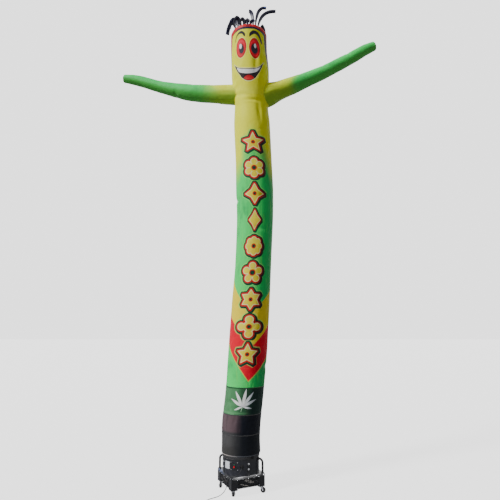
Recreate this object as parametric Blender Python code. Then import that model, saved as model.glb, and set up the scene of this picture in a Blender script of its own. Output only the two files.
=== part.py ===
"""Inflatable air dancer: a hollow cloth figure on the drum of its wheeled blower. Metres, +Z up.

The origin is on the floor, under the middle of the figure's outline. The figure faces -Y.
Azimuths are in degrees round a vertical axis: 0 faces -Y and 90 faces +X.
"""

import math

import bmesh
import bpy
from mathutils import Matrix, Vector

GAP = 0.0003  # between pieces that touch
SEAM_GAP = 0.0008  # between a sleeve and the faceted wall that it ends on
CLOTH = 0.002  # wall of the cloth

# Blower: a square base on casters under a round drum
BLOWER_PLACE = Vector((-0.068, 0.204, 0))
BLOWER_TURN = 25.3
BASE_HALF = 0.225
SHEET = 0.0025
DECK_TOP = 0.224
DECK_LIP = 0.026
DECK_HOLE_RADIUS = 0.210
POST_BOTTOM = 0.079
POST_LEG = 0.085
DRUM_RADIUS = 0.2285
DRUM_WALL = 0.003
DRUM_TOP = 0.660
DRUM_SIDES = 48

GUARD_WIDTH = 0.300
GUARD_BOTTOM = 0.094
GUARD_THICK = 0.003
GUARD_RIM = 0.008
GUARD_BAR = 0.005
GUARD_HOLES = (9, 3)

HANDLE_PIPE_RADIUS = 0.011
HANDLE_REACH = 0.285
HANDLE_TOP = 0.384
HANDLE_BEND = 0.042
HANDLE_SIDES = 12
HANDLE_FLANGE_RADIUS = 0.022
HANDLE_FLANGE_THICK = 0.005

# Casters: where each stands on the base (signs of X and Y) and which way its wheel trails
CASTERS = {
    "front": (-1, -1, 50),
    "right": (1, -1, -45),
    "back": (1, 1, 150),
    "left": (-1, 1, -128),
}
CASTER_INSET = 0.187
WHEEL_RADIUS = 0.032
WHEEL_WIDTH = 0.024
WHEEL_SIDES = 24
CASTER_TRAIL = 0.026
CASTER_PLATE = 0.064
CASTER_PLATE_THICK = 0.003
SWIVEL_RADIUS = 0.023
FORK_INSIDE = 0.0135
FORK_SHEET = 0.003
FORK_TOP = 0.0754
FORK_CROWN = 0.0665
AXLE_RADIUS = 0.004
AXLE_HEAD = 0.0065
BORE_RADIUS = 0.0044

# What is mounted on the drum: azimuth, middle height, width, height (of the blower itself)
CONTROL_PLATE = {"azimuth": -19.5, "height": 0.335, "wide": 0.100, "tall": 0.094, "thick": 0.002}
BLANK_LABEL = {"azimuth": -45.1, "height": 0.336, "wide": 0.074, "tall": 0.082, "thick": 0.0012}
SWITCH = {"height": 0.327, "wide": 0.021, "tall": 0.030, "deep": 0.0045}
ROCKER_HALF = 0.010
ROCKER_WIDTH = 0.0135
ROCKER_PIVOT = 0.0026
ROCKER_TILT = 7
# Rocker's side view: up from its middle, out from the plate
ROCKER_SIDE = (
    (0, 0.0003),
    (ROCKER_HALF, 0.0028),
    (ROCKER_HALF, 0.0066),
    (0, 0.0052),
    (-ROCKER_HALF, 0.0066),
    (-ROCKER_HALF, 0.0028),
)
GLAND_AZIMUTH = 3.6
GLAND_HEIGHT = 0.333
# Gland and strain relief, turned about the cord's axis: distance from the drum's wall, radius
GLAND_PROFILE = (
    (-0.004, 0.023),
    (0.005, 0.023),
    (0.007, 0.015),
    (0.019, 0.015),
    (0.021, 0.009),
    (0.046, 0.0058),
)

# Lead: rubber cable, one smooth curve from the gland down past the deck to a coil on the floor
CORD_RADIUS = 0.004
CORD_POINTS = 36
# Hand-set places beside the blower's axis: right, back, up
CORD_ROUTE = (
    (0.0173, -0.2753, 0.3330),
    (0.0181, -0.2880, 0.3326),
    (0.0150, -0.3010, 0.3200),
    (-0.0050, -0.3010, 0.2880),
    (-0.0330, -0.2830, 0.2560),
    (-0.0620, -0.2760, 0.2370),
    (-0.0920, -0.2760, 0.2295),
    (-0.1180, -0.2800, 0.2290),
    (-0.1390, -0.2840, 0.2180),
    (-0.1500, -0.2850, 0.1900),
    (-0.1580, -0.2830, 0.1500),
    (-0.1700, -0.2780, 0.1100),
    (-0.1920, -0.2690, 0.0700),
    (-0.2270, -0.2580, 0.0340),
    (-0.2680, -0.2560, 0.0120),
    (-0.3100, -0.2700, 0.0048),
    (-0.3500, -0.3000, 0.0042),
    (-0.3850, -0.3400, 0.0042),
    (-0.4090, -0.3860, 0.0042),
    (-0.4190, -0.4300, 0.0060),
    (-0.4231, -0.4860, 0.0112),
)
COIL_PLACE = Vector((-0.478, -0.486, 0))
COIL_TURN_RADIUS = 0.042
COIL_SECTION_RADIUS = 0.0083
COIL_MIDDLE = 0.0112
COIL_SIDES = 28
TIE_AZIMUTH = 150
TIE_WIDTH = 0.012
TIE_RADIUS = 0.0095  # inside of its loop round the coil's turns
TIE_THICK = 0.0012
PLUG_AZIMUTH = -80
# Plug's moulded body from its tail: distance along it, half width, half height
PLUG_ROWS = ((0, 0.0052, 0.0052), (0.016, 0.0064, 0.0064), (0.018, 0.0120, 0.0100), (0.046, 0.0135, 0.0115))
PLUG_BLADE = {"apart": 0.0127, "long": 0.016, "tall": 0.0064, "thick": 0.0015}

# Cloth figure. Its axis sways to the right by the table and leans forward by a power of its height
LEAN = {"from": 0.62, "to": 6.05, "reach": 0.46, "power": 1.5}
# height, sway to the right of the blower's axis, diameter
TUBE_ROWS = (
    (0.440, 0.000, 0.489),
    (0.620, 0.000, 0.482),
    (0.800, 0.006, 0.493),
    (1.180, 0.045, 0.491),
    (1.560, 0.077, 0.500),
    (1.810, 0.094, 0.503),
    (2.330, 0.127, 0.496),
    (2.700, 0.150, 0.481),
    (3.100, 0.170, 0.479),
    (3.400, 0.180, 0.483),
    (3.800, 0.176, 0.499),
    (4.130, 0.168, 0.488),
    (4.680, 0.142, 0.490),
    (4.900, 0.135, 0.464),
    (5.100, 0.128, 0.482),
    (5.310, 0.121, 0.506),
    (5.450, 0.117, 0.507),
    (5.700, 0.101, 0.495),
    (5.950, 0.098, 0.492),
)
# height, azimuth, half length up, half width round, turn of the fold in degrees, depth inwards
TUBE_FOLDS = (
    (5.440, 17, 0.170, 0.034, 3, 0.013),
    (4.780, 24, 0.130, 0.032, -4, 0.013),
    (5.000, -88, 0.110, 0.030, 12, 0.014),
    (4.985, 92, 0.100, 0.030, -16, 0.014),
    (4.925, 8, 0.022, 0.110, 5, 0.009),
    (5.010, -30, 0.028, 0.100, 14, 0.008),
    (4.900, 172, 0.034, 0.150, -6, 0.014),
    (3.640, -82, 0.030, 0.120, 8, 0.014),
    (3.670, 30, 0.032, 0.090, -14, 0.010),
    (3.235, 22, 0.026, 0.110, 6, 0.007),
    (3.420, 150, 0.040, 0.150, 10, 0.012),
    (2.420, -150, 0.034, 0.130, -8, 0.010),
    (1.500, 76, 0.030, 0.120, 10, 0.010),
    (1.070, -40, 0.028, 0.130, -6, 0.007),
    (0.760, 100, 0.130, 0.040, 4, 0.009),
    (0.740, -60, 0.140, 0.040, -5, 0.009),
)
TUBE_SIDES = 28
TUBE_RINGS = 27
CUFF_TOP = 0.682
PRINT_BAND_TOP = 0.920
LEAF_BAND_TOP = 1.245
CROWN_SEAM = 5.900
CROWN_RISE = 0.085
CROWN_VENT_RADIUS = 0.045
CROWN_SQUARENESS = 2.6
TAIL_BOTTOM = 0.409
STRAP_BOTTOM = 0.411
STRAP_TOP = 0.437
STRAP_THICK = 0.002
# The cuff's rounded lower edge: out from its tail, up from the strap's top
HEM_ROWS = ((0, 0.0012), (0.0040, 0.0026), (0.0090, 0.0034), (0.0118, 0.0070))

# Sleeves. reach to the right of the blower's axis, reach back, height, diameter
ARM_ROWS = {
    "arm_left": (
        (0.020, -0.345, 5.105, 0.276),
        (-0.121, -0.320, 5.121, 0.266),
        (-0.290, -0.275, 5.152, 0.252),
        (-0.448, -0.225, 5.186, 0.243),
        (-0.786, -0.145, 5.262, 0.221),
        (-1.134, -0.065, 5.381, 0.170),
        (-1.521, 0.010, 5.533, 0.147),
        (-1.728, 0.050, 5.591, 0.122),
    ),
    "arm_right": (
        (0.215, -0.350, 5.045, 0.330),
        (0.375, -0.350, 5.112, 0.318),
        (0.500, -0.348, 5.162, 0.262),
        (0.645, -0.345, 5.223, 0.238),
        (0.892, -0.340, 5.336, 0.202),
        (1.142, -0.335, 5.457, 0.178),
        (1.470, -0.335, 5.639, 0.166),
        (1.726, -0.335, 5.794, 0.148),
        (1.845, -0.335, 5.852, 0.126),
    ),
}
# share of the sleeve's length, turn round it from its top, half length, half width, depth
ARM_FOLDS = {
    "arm_left": (
        (0.40, 20, 0.020, 0.090, 0.010),
        (0.52, 205, 0.030, 0.080, 0.012),
        (0.22, 150, 0.080, 0.030, 0.010),
    ),
    "arm_right": (
        (0.30, -60, 0.022, 0.080, 0.011),
        (0.78, 40, 0.022, 0.070, 0.008),
        (0.20, 200, 0.090, 0.030, 0.010),
    ),
}
ARM_SIDES = 16
ARM_RINGS = 15
ARM_TIP_ROUND = 0.010
ARM_VENT_RADIUS = 0.022

# Hair. Each tuft's sewn strip on the crown: place beside the head's axis (right, back), turn, length
HAIR_STRIP_WIDTH = 0.016
HAIR_STRIP_THICK = 0.004
HAIR_STRIP_STEPS = 6
HAIR_SEAT = 0.0010
HAIR_RIBBON = 0.0016
HAIR_STEPS = 7
HAIR_TWIST = 58  # degrees that a ribbon reaching sideways turns its flat to the front
HAIR_TUFTS = {
    "hair_right": (0.095, -0.075, 20, 0.150),
    "hair_left": (-0.125, -0.070, -30, 0.150),
    "hair_middle": (-0.020, -0.140, 0, 0.110),
    "hair_back": (0.000, 0.120, 5, 0.190),
}
# place along the sewn strip, azimuth it reaches to, reach, rise, end height, width (all from its root)
HAIR_RIBBONS = {
    "hair_right": (
        (-0.036, -84, 0.062, 0.225, 0.255, 0.038),
        (-0.008, 84, 0.152, 0.300, 0.305, 0.032),
        (0.026, 92, 0.250, 0.235, 0.285, 0.034),
        (0.060, 150, 0.130, 0.110, 0.030, 0.034),
    ),
    "hair_left": (
        (-0.060, -100, 0.120, 0.150, -0.035, 0.042),
        (-0.020, -86, 0.125, 0.165, 0.020, 0.042),
        (0.020, -60, 0.115, 0.150, 0.020, 0.040),
        (0.060, 64, 0.070, 0.090, 0.045, 0.036),
    ),
    "hair_middle": (
        (-0.036, -60, 0.060, 0.090, 0.050, 0.036),
        (0.000, 16, 0.062, 0.080, 0.032, 0.036),
        (0.036, 66, 0.062, 0.066, 0.040, 0.034),
    ),
    "hair_back": (
        (-0.080, -150, 0.200, 0.090, -0.080, 0.036),
        (-0.040, -168, 0.200, 0.120, -0.060, 0.038),
        (0.000, 178, 0.200, 0.100, -0.110, 0.038),
        (0.040, 166, 0.200, 0.130, -0.060, 0.036),
        (0.080, 148, 0.210, 0.085, -0.090, 0.036),
    ),
}

# name: colour, roughness, metallic
FINISHES = {
    "yellow_cloth": ((0.87, 0.80, 0.10), 0.62, 0),
    "green_cloth": ((0.10, 0.52, 0.16), 0.62, 0),
    "dark_green_cloth": ((0.03, 0.12, 0.05), 0.62, 0),
    "brown_cloth": ((0.05, 0.03, 0.02), 0.62, 0),
    "black_cloth": ((0.04, 0.04, 0.04), 0.62, 0),
    "red_cloth": ((0.72, 0.04, 0.05), 0.60, 0),
    "webbing": ((0.02, 0.02, 0.02), 0.75, 0),
    "hair_ribbon": ((0.01, 0.015, 0.06), 0.30, 0),
    "black_paint": ((0.012, 0.012, 0.014), 0.28, 0.4),
    "zinc": ((0.62, 0.62, 0.64), 0.30, 1),
    "wheel_rubber": ((0.02, 0.02, 0.02), 0.70, 0),
    "label_white": ((0.80, 0.80, 0.82), 0.45, 0),
    "switch_red": ((0.80, 0.02, 0.03), 0.30, 0),
    "black_plastic": ((0.02, 0.02, 0.02), 0.40, 0),
    "cord_rubber": ((0.015, 0.015, 0.016), 0.60, 0),
}


def clear_scene():
    for obj in list(bpy.data.objects):
        bpy.data.objects.remove(obj, do_unlink=True)


def finish(name):
    """The named finish as a Principled material, made once."""
    found = bpy.data.materials.get(name)
    if found:
        return found
    colour, roughness, metallic = FINISHES[name]
    made = bpy.data.materials.new(name)
    made.use_nodes = True
    shader = made.node_tree.nodes["Principled BSDF"]
    shader.inputs["Base Color"].default_value = (*colour, 1)
    shader.inputs["Roughness"].default_value = roughness
    shader.inputs["Metallic"].default_value = metallic
    made.diffuse_color = (*colour, 1)
    return made


def add_mesh(name, bm, material, smooth_under=40):
    """A new object from a bmesh, its faces turned outwards and its round sides shaded smooth."""
    bmesh.ops.recalc_face_normals(bm, faces=bm.faces)
    mesh = bpy.data.meshes.new(name)
    bm.to_mesh(mesh)
    bm.free()
    mesh.materials.append(finish(material))
    mesh.shade_smooth()
    mesh.set_sharp_from_angle(angle=math.radians(smooth_under))
    obj = bpy.data.objects.new(name, mesh)
    bpy.context.scene.collection.objects.link(obj)
    return obj


def combine(target, helpers, operation, solver="EXACT"):
    """Cut the helpers from the target, or join them to it, and keep only the result."""
    for helper in helpers:
        step = target.modifiers.new(operation.title(), "BOOLEAN")
        step.operation = operation
        step.solver = solver
        step.object = helper
    bpy.context.view_layer.update()
    evaluated = target.evaluated_get(bpy.context.evaluated_depsgraph_get())
    mesh = bpy.data.meshes.new_from_object(evaluated)
    target.modifiers.clear()
    target.data = mesh
    mesh.name = target.name
    for helper in helpers:
        bpy.data.objects.remove(helper, do_unlink=True)
    return target


def place(obj, parent=None, location=(0, 0, 0), turn=0):
    obj.parent = parent
    obj.location = location
    obj.rotation_euler = (0, 0, math.radians(turn))
    return obj


def towards(azimuth):
    """The level direction that an azimuth faces."""
    angle = math.radians(azimuth)
    return Vector((math.sin(angle), -math.cos(angle), 0))


# Basic shapes


def box(name, low, high, material):
    bm = bmesh.new()
    bmesh.ops.create_cube(bm, size=1)
    low, high = Vector(low), Vector(high)
    for vert in bm.verts:
        vert.co = (low + high) / 2 + vert.co * (high - low)
    return add_mesh(name, bm, material)


def turned(name, profile, material, sides=24, start=0, axis=None):
    """A closed solid turned about an axis from (distance along it, radius) rows, the ends capped."""
    bm = bmesh.new()
    rings = []
    for along, radius in profile:
        ring = []
        for k in range(sides):
            angle = math.radians(start) + math.tau * k / sides
            ring.append(bm.verts.new((radius * math.cos(angle), radius * math.sin(angle), along)))
        rings.append(ring)
    skin(bm, rings)
    bm.faces.new(reversed(rings[0]))
    bm.faces.new(rings[-1])
    if axis is not None:
        bm.transform(Vector((0, 0, 1)).rotation_difference(axis).to_matrix().to_4x4())
    return add_mesh(name, bm, material)


def skin(bm, rings):
    """Quads between rings of the same number of points."""
    for lower, upper in zip(rings, rings[1:]):
        for k in range(len(lower)):
            nxt = (k + 1) % len(lower)
            bm.faces.new((lower[k], lower[nxt], upper[nxt], upper[k]))


def shell(name, outer, inner, material):
    """A closed wall between an outer and an inner stack of rings, open at both ends."""
    bm = bmesh.new()
    outer_rings = [[bm.verts.new(p) for p in ring] for ring in outer]
    inner_rings = [[bm.verts.new(p) for p in ring] for ring in inner]
    skin(bm, outer_rings + inner_rings[::-1] + outer_rings[:1])
    return add_mesh(name, bm, material, smooth_under=50)


def plug_of(name, rings, material):
    """A closed solid that fills a stack of rings."""
    bm = bmesh.new()
    made = [[bm.verts.new(p) for p in ring] for ring in rings]
    skin(bm, made)
    bm.faces.new(reversed(made[0]))
    bm.faces.new(made[-1])
    return add_mesh(name, bm, material)


def pipe(name, points, radius, sides, material):
    """A round bar swept along points, its ends capped."""
    bm = bmesh.new()
    rings = []
    for i, point in enumerate(points):
        ahead = points[min(i + 1, len(points) - 1)] - points[max(i - 1, 0)]
        across = ahead.orthogonal() if i == 0 else side - ahead * side.dot(ahead) / ahead.length_squared
        side = across.normalized()
        up = ahead.normalized().cross(side)
        rings.append(
            [
                bm.verts.new(point + radius * (math.cos(a) * side + math.sin(a) * up))
                for a in (math.tau * k / sides for k in range(sides))
            ]
        )
    skin(bm, rings)
    bm.faces.new(reversed(rings[0]))
    bm.faces.new(rings[-1])
    return add_mesh(name, bm, material)


def arc_panel(name, spec, radius, steps, material):
    """A plate bent round the drum, standing on its wall."""
    bm = bmesh.new()
    half_turn = spec["wide"] / radius / 2
    low, high = spec["height"] - spec["tall"] / 2, spec["height"] + spec["tall"] / 2
    rings = []
    for k in range(steps + 1):
        angle = math.radians(spec["azimuth"]) + half_turn * (2 * k / steps - 1)
        out = Vector((math.sin(angle), -math.cos(angle), 0))
        near, far = radius, radius + spec["thick"]
        corners = ((near, low), (far, low), (far, high), (near, high))
        rings.append([bm.verts.new(out * r + Vector((0, 0, z))) for r, z in corners])
    skin(bm, rings)
    bm.faces.new(reversed(rings[0]))
    bm.faces.new(rings[-1])
    return add_mesh(name, bm, material)


def lattice(name, xs, ys, thick, material):
    """A flat grille in X and Y, with a hole in every second cell each way, standing up from Z 0."""
    bm = bmesh.new()
    grid = {}

    def vert(i, j, level):
        if (i, j, level) not in grid:
            grid[i, j, level] = bm.verts.new((xs[i], ys[j], thick * level))
        return grid[i, j, level]

    def is_bar(i, j):
        inside = 0 <= i < len(xs) - 1 and 0 <= j < len(ys) - 1
        return inside and not (i % 2 and j % 2)

    for i in range(len(xs) - 1):
        for j in range(len(ys) - 1):
            if not is_bar(i, j):
                continue
            corners = ((i, j), (i + 1, j), (i + 1, j + 1), (i, j + 1))
            for level in (0, 1):
                bm.faces.new([vert(*c, level) for c in corners])
            sides = (((i, j), (i + 1, j), (0, -1)), ((i + 1, j), (i + 1, j + 1), (1, 0)))
            sides += (((i + 1, j + 1), (i, j + 1), (0, 1)), ((i, j + 1), (i, j), (-1, 0)))
            for a, b, (di, dj) in sides:
                if not is_bar(i + di, j + dj):
                    bm.faces.new((vert(*a, 0), vert(*b, 0), vert(*b, 1), vert(*a, 1)))
    return add_mesh(name, bm, material)


def bar_lines(length, rim, bar, holes):
    """Lines of a grille's bars across its length: rim, hole, bar, hole ... rim."""
    gap = (length - 2 * rim - (holes - 1) * bar) / holes
    lines = [0, rim]
    for _ in range(holes - 1):
        lines += [lines[-1] + gap, lines[-1] + gap + bar]
    return [*lines, length - rim, length]


# Smooth curves through rows


def between(rows, column, height):
    """A column of a table at a height, on a smooth curve through its rows."""
    height = min(max(height, rows[0][0]), rows[-1][0])
    last = len(rows) - 2
    i = max(0, min(last, sum(row[0] <= height for row in rows) - 1))

    def slope(k):
        low, high = rows[max(k - 1, 0)], rows[min(k + 1, len(rows) - 1)]
        return (high[column] - low[column]) / (high[0] - low[0])

    a, b = rows[i], rows[i + 1]
    step = b[0] - a[0]
    t = (height - a[0]) / step
    bend = (1 + 2 * t) * (1 - t) ** 2 * a[column] + t * t * (3 - 2 * t) * b[column]
    return bend + step * (t * (1 - t) ** 2 * slope(i) - t * t * (1 - t) * slope(i + 1))


def through(rows, count):
    """Evenly spaced rows on a smooth curve through the given ones."""
    fine = []
    for i in range(len(rows) - 1):
        quad = [Vector(rows[max(0, min(len(rows) - 1, k))]) for k in range(i - 1, i + 3)]
        for s in range(40):
            t = s / 40
            a, b = quad[1], quad[2]
            leave, arrive = (quad[2] - quad[0]) / 2, (quad[3] - quad[1]) / 2
            fine.append(
                a * (1 + 2 * t) * (1 - t) ** 2
                + b * t * t * (3 - 2 * t)
                + leave * t * (1 - t) ** 2
                - arrive * t * t * (1 - t)
            )
    fine.append(Vector(rows[-1]))
    reached = [0]
    for a, b in zip(fine, fine[1:]):
        reached.append(reached[-1] + (b.resized(3) - a.resized(3)).length)
    spaced, k = [], 0
    for step in range(count):
        goal = reached[-1] * step / (count - 1)
        while k < len(fine) - 2 and reached[k + 1] < goal:
            k += 1
        share = (goal - reached[k]) / (reached[k + 1] - reached[k])
        spaced.append(fine[k].lerp(fine[k + 1], min(1, max(0, share))))
    return spaced


# The cloth tube


def tube_middle(height):
    share = min(1, max(0, (height - LEAN["from"]) / (LEAN["to"] - LEAN["from"])))
    forward = LEAN["reach"] * share ** LEAN["power"]
    return BLOWER_PLACE + Vector((between(TUBE_ROWS, 1, height), -forward, height))


def tube_radius(height):
    return between(TUBE_ROWS, 2, height) / 2


def fold_depth(height, azimuth, radius):
    """How far the folds draw the tube in at a place on it."""
    depth = 0
    for level, facing, half_up, half_round, turn, deepest in TUBE_FOLDS:
        round_it = radius * math.radians((azimuth - facing + 180) % 360 - 180)
        up = height - level
        c, s = math.cos(math.radians(turn)), math.sin(math.radians(turn))
        along, across = up * c + round_it * s, round_it * c - up * s
        depth += deepest * math.exp(-((along / half_up) ** 2) - (across / half_round) ** 2)
    return depth


def tube_ring(height, radius, level=None):
    """A ring of the tube: its sway and folds are those of one height, its points lie at another."""
    ring = []
    middle = tube_middle(height)
    middle.z = height if level is None else level
    for k in range(TUBE_SIDES):
        azimuth = 360 * k / TUBE_SIDES
        ring.append(middle + towards(azimuth) * (radius - fold_depth(height, azimuth, radius)))
    return ring


def tube_shell(name, profile, material):
    """Cloth turned about the swaying axis. The profile's rows are (radius, height), going up."""
    outer = [tube_ring(height, radius) for radius, height in profile]
    inner = []
    for i, (radius, height) in enumerate(profile):
        r0, z0 = profile[max(i - 1, 0)]
        r1, z1 = profile[min(i + 1, len(profile) - 1)]
        length = math.hypot(r1 - r0, z1 - z0)
        inward, lift = (z1 - z0) / length, (r1 - r0) / length
        inner.append(tube_ring(height, radius - CLOTH * inward, height + CLOTH * lift))
    return shell(name, outer, inner, material)


def tube_profile(bottom, top, rows):
    heights = [bottom + (top - bottom) * k / (rows - 1) for k in range(rows)]
    return [(tube_radius(height), height) for height in heights]


def tail_radius():
    """Outer radius of the cuff's tail, whose flat sides just clear the round drum."""
    return (DRUM_RADIUS + GAP) / math.cos(math.pi / TUBE_SIDES) + CLOTH


def level_ring(middle, radius, height, sides=TUBE_SIDES):
    rim = [middle + towards(360 * k / sides) * radius for k in range(sides)]
    return [Vector((point.x, point.y, height)) for point in rim]


def make_cloth_tube():
    body = tube_shell("body_tube", tube_profile(LEAF_BAND_TOP, CROWN_SEAM, TUBE_RINGS), "yellow_cloth")
    tube_shell("leaf_band", tube_profile(PRINT_BAND_TOP, LEAF_BAND_TOP - GAP, 4), "dark_green_cloth")
    tube_shell("print_band", tube_profile(CUFF_TOP, PRINT_BAND_TOP - GAP, 4), "brown_cloth")
    tail = tail_radius()
    hem = [(tail, TAIL_BOTTOM)]
    for out, up in HEM_ROWS:
        hem.append((tail + out, STRAP_TOP + up))
    tube_shell("base_cuff", hem + tube_profile(STRAP_TOP + 0.017, CUFF_TOP - GAP, 4), "black_cloth")
    return body


def make_strap():
    inside = tail_radius() + GAP
    levels = (STRAP_BOTTOM, STRAP_TOP)
    outer = [level_ring(BLOWER_PLACE, inside + STRAP_THICK, height) for height in levels]
    inner = [level_ring(BLOWER_PLACE, inside, height) for height in levels]
    shell("cuff_strap", outer, inner, "webbing")


def crown_height(radius):
    """Height of the crown's outer face at a distance from the head's axis."""
    share = min(1, radius / tube_radius(CROWN_SEAM))
    return CROWN_SEAM + CROWN_RISE * (1 - share**CROWN_SQUARENESS) ** (1 / CROWN_SQUARENESS)


def make_crown():
    full = tube_radius(CROWN_SEAM)
    profile = []
    for share in (1, 0.990, 0.955, 0.88, 0.75, 0.58, 0.38):
        profile.append((full * share, crown_height(full * share) + GAP))
    profile.append((CROWN_VENT_RADIUS, crown_height(CROWN_VENT_RADIUS) + GAP))
    middle = tube_middle(CROWN_SEAM)
    outer, inner = [], []
    for i, (radius, height) in enumerate(profile):
        r0, z0 = profile[max(i - 1, 0)]
        r1, z1 = profile[min(i + 1, len(profile) - 1)]
        length = math.hypot(r1 - r0, z1 - z0)
        inward, lift = CLOTH * (z1 - z0) / length, CLOTH * (r1 - r0) / length
        if i == 0:
            inward, lift = CLOTH, 0
        outer.append(level_ring(middle, radius, height))
        inner.append(level_ring(middle, radius - inward, height + lift))
    shell("crown_panel", outer, inner, "red_cloth")


# The sleeves


def arm_rings(name, inset):
    """Rings square to the sleeve's axis, drawn in by an inset."""
    rows = through(ARM_ROWS[name], ARM_RINGS)
    length = sum((b.resized(3) - a.resized(3)).length for a, b in zip(rows, rows[1:]))
    rings = []
    for i, row in enumerate(rows):
        ahead = (rows[min(i + 1, ARM_RINGS - 1)] - rows[max(i - 1, 0)]).resized(3).normalized()
        side = ahead.cross(Vector((0, 0, 1))).normalized()
        up = side.cross(ahead)
        middle, radius = BLOWER_PLACE + row.resized(3), row[3] / 2
        ring = []
        for k in range(ARM_SIDES):
            turn = 360 * k / ARM_SIDES
            depth = 0
            for share, facing, half_long, half_round, deepest in ARM_FOLDS[name]:
                along = length * (i / (ARM_RINGS - 1) - share)
                across = radius * math.radians((turn - facing + 180) % 360 - 180)
                depth += deepest * math.exp(-((along / half_long) ** 2) - (across / half_round) ** 2)
            angle = math.radians(turn)
            out = math.cos(angle) * up + math.sin(angle) * side
            ring.append(middle + out * (radius - inset - depth))
        rings.append(ring)
    return rings


def tip_rings(ring, inset):
    """The sleeve's turned-in end: it closes towards a small vent."""
    middle = sum(ring, Vector()) / len(ring)
    ahead = (ring[0] - middle).cross(ring[ARM_SIDES // 4] - middle).normalized()
    size = (ring[0] - middle).length
    rings = []
    for share, forward in ((0.93, 0.7), (0.78, 1.0), (ARM_VENT_RADIUS / size, 1.05)):
        shift = ahead * (ARM_TIP_ROUND * forward - inset)
        rings.append([middle + shift + (point - middle) * share for point in ring])
    return rings


def make_arm(name, body):
    """A sleeve that ends on the tube's wall, and the hole in the wall that it opens from."""
    outer, inner = arm_rings(name, 0), arm_rings(name, CLOTH)
    bore = plug_of("bore", inner[:5], "green_cloth")
    combine(body, [bore], "DIFFERENCE", "MANIFOLD")
    walls = [rings + tip_rings(rings[-1], inset) for rings, inset in ((outer, 0), (inner, CLOTH))]
    sleeve = shell(name, *walls, "green_cloth")
    profile = tube_profile(LEAF_BAND_TOP, CROWN_SEAM, TUBE_RINGS)
    core = plug_of("core", [tube_ring(z, radius + SEAM_GAP) for radius, z in profile], "yellow_cloth")
    combine(sleeve, [core], "DIFFERENCE", "MANIFOLD")


# The hair


def ribbon_path(root, azimuth, reach, rise, end):
    """A ribbon that springs up from its root and bends over to its end."""
    out, up = towards(azimuth), Vector((0, 0, 1))
    tip = root + out * reach + up * end
    first = root + up * rise * 1.25 + out * reach * 0.10
    second = root + out * reach * 0.80 + up * (rise * 1.30 if rise > end else end)
    path = []
    for k in range(HAIR_STEPS + 1):
        t = k / HAIR_STEPS
        s = 1 - t
        path.append(root * s**3 + first * 3 * s * s * t + second * 3 * s * t * t + tip * t**3)
    return path


def seat_height(point, head):
    """Where a sewn strip's underside lies at a point over the crown."""
    return crown_height(math.hypot(point.x - head.x, point.y - head.y)) + HAIR_SEAT


def make_tuft(name):
    right, back, turn, length = HAIR_TUFTS[name]
    head = tube_middle(CROWN_SEAM)
    middle = Vector((head.x + right, head.y + back, 0))
    along, across = towards(90 + turn), towards(turn)
    bm = bmesh.new()
    rings = []
    for k in range(HAIR_STRIP_STEPS + 1):
        station = middle + along * length * (k / HAIR_STRIP_STEPS - 0.5)
        ring = []
        for side, lift in ((-1, 0), (1, 0), (1, HAIR_STRIP_THICK), (-1, HAIR_STRIP_THICK)):
            point = station + across * side * HAIR_STRIP_WIDTH / 2
            point.z = seat_height(point, head) + lift
            ring.append(bm.verts.new(point))
        rings.append(ring)
    skin(bm, rings)
    bm.faces.new(reversed(rings[0]))
    bm.faces.new(rings[-1])
    tuft = add_mesh(name, bm, "hair_ribbon")
    ribbons = bmesh.new()
    for place_along, azimuth, reach, rise, end, width in HAIR_RIBBONS[name]:
        root = middle + along * place_along
        root.z = seat_height(root, head) + HAIR_STRIP_THICK / 2
        path = ribbon_path(root, azimuth, reach, rise, end)
        level = towards(azimuth + 90)
        twist = -math.radians(HAIR_TWIST) * math.sin(math.radians(azimuth))
        rings = []
        for i, point in enumerate(path):
            ahead = (path[min(i + 1, HAIR_STEPS)] - path[max(i - 1, 0)]).normalized()
            side = ahead.cross(level).normalized()
            flat = level * math.cos(twist) + side * math.sin(twist)
            face = side * math.cos(twist) - level * math.sin(twist)
            half = width / 2 * (0.45 if i == 0 else 1)
            corners = ((-half, -1), (half, -1), (half, 1), (-half, 1))
            thick = face * HAIR_RIBBON / 2
            rings.append([ribbons.verts.new(point + flat * w + thick * f) for w, f in corners])
        skin(ribbons, rings)
        ribbons.faces.new(reversed(rings[0]))
        ribbons.faces.new(rings[-1])
    combine(tuft, [add_mesh("ribbons", ribbons, "hair_ribbon")], "UNION")


# The blower


def make_deck(blower):
    high, low = DECK_TOP, DECK_TOP - DECK_LIP
    deck = box("deck", (-BASE_HALF, -BASE_HALF, low), (BASE_HALF, BASE_HALF, high), "black_paint")
    inside = BASE_HALF - SHEET
    under = box("under", (-inside, -inside, low - 0.01), (inside, inside, high - SHEET), "black_paint")
    rows = ((low, DECK_HOLE_RADIUS), (high + 0.01, DECK_HOLE_RADIUS))
    hole = turned("hole", rows, "black_paint", DRUM_SIDES)
    place(combine(deck, [under, hole], "DIFFERENCE"), blower)


def make_post(name, sign_x, sign_y, blower):
    outside, top = BASE_HALF - SHEET - GAP, DECK_TOP - SHEET - GAP
    inner = outside - SHEET
    end = outside - POST_LEG

    def slab(x0, x1, y0, y1, high):
        xs, ys = sorted((sign_x * x0, sign_x * x1)), sorted((sign_y * y0, sign_y * y1))
        return box("slab", (xs[0], ys[0], POST_BOTTOM), (xs[1], ys[1], high), "black_paint")

    post = slab(end, outside, end, outside, top)
    post.name = name
    over = slab(end - 0.01, inner, end - 0.01, inner, top + 0.01)
    over.location.z = SHEET
    place(combine(post, [over], "DIFFERENCE"), blower)


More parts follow.
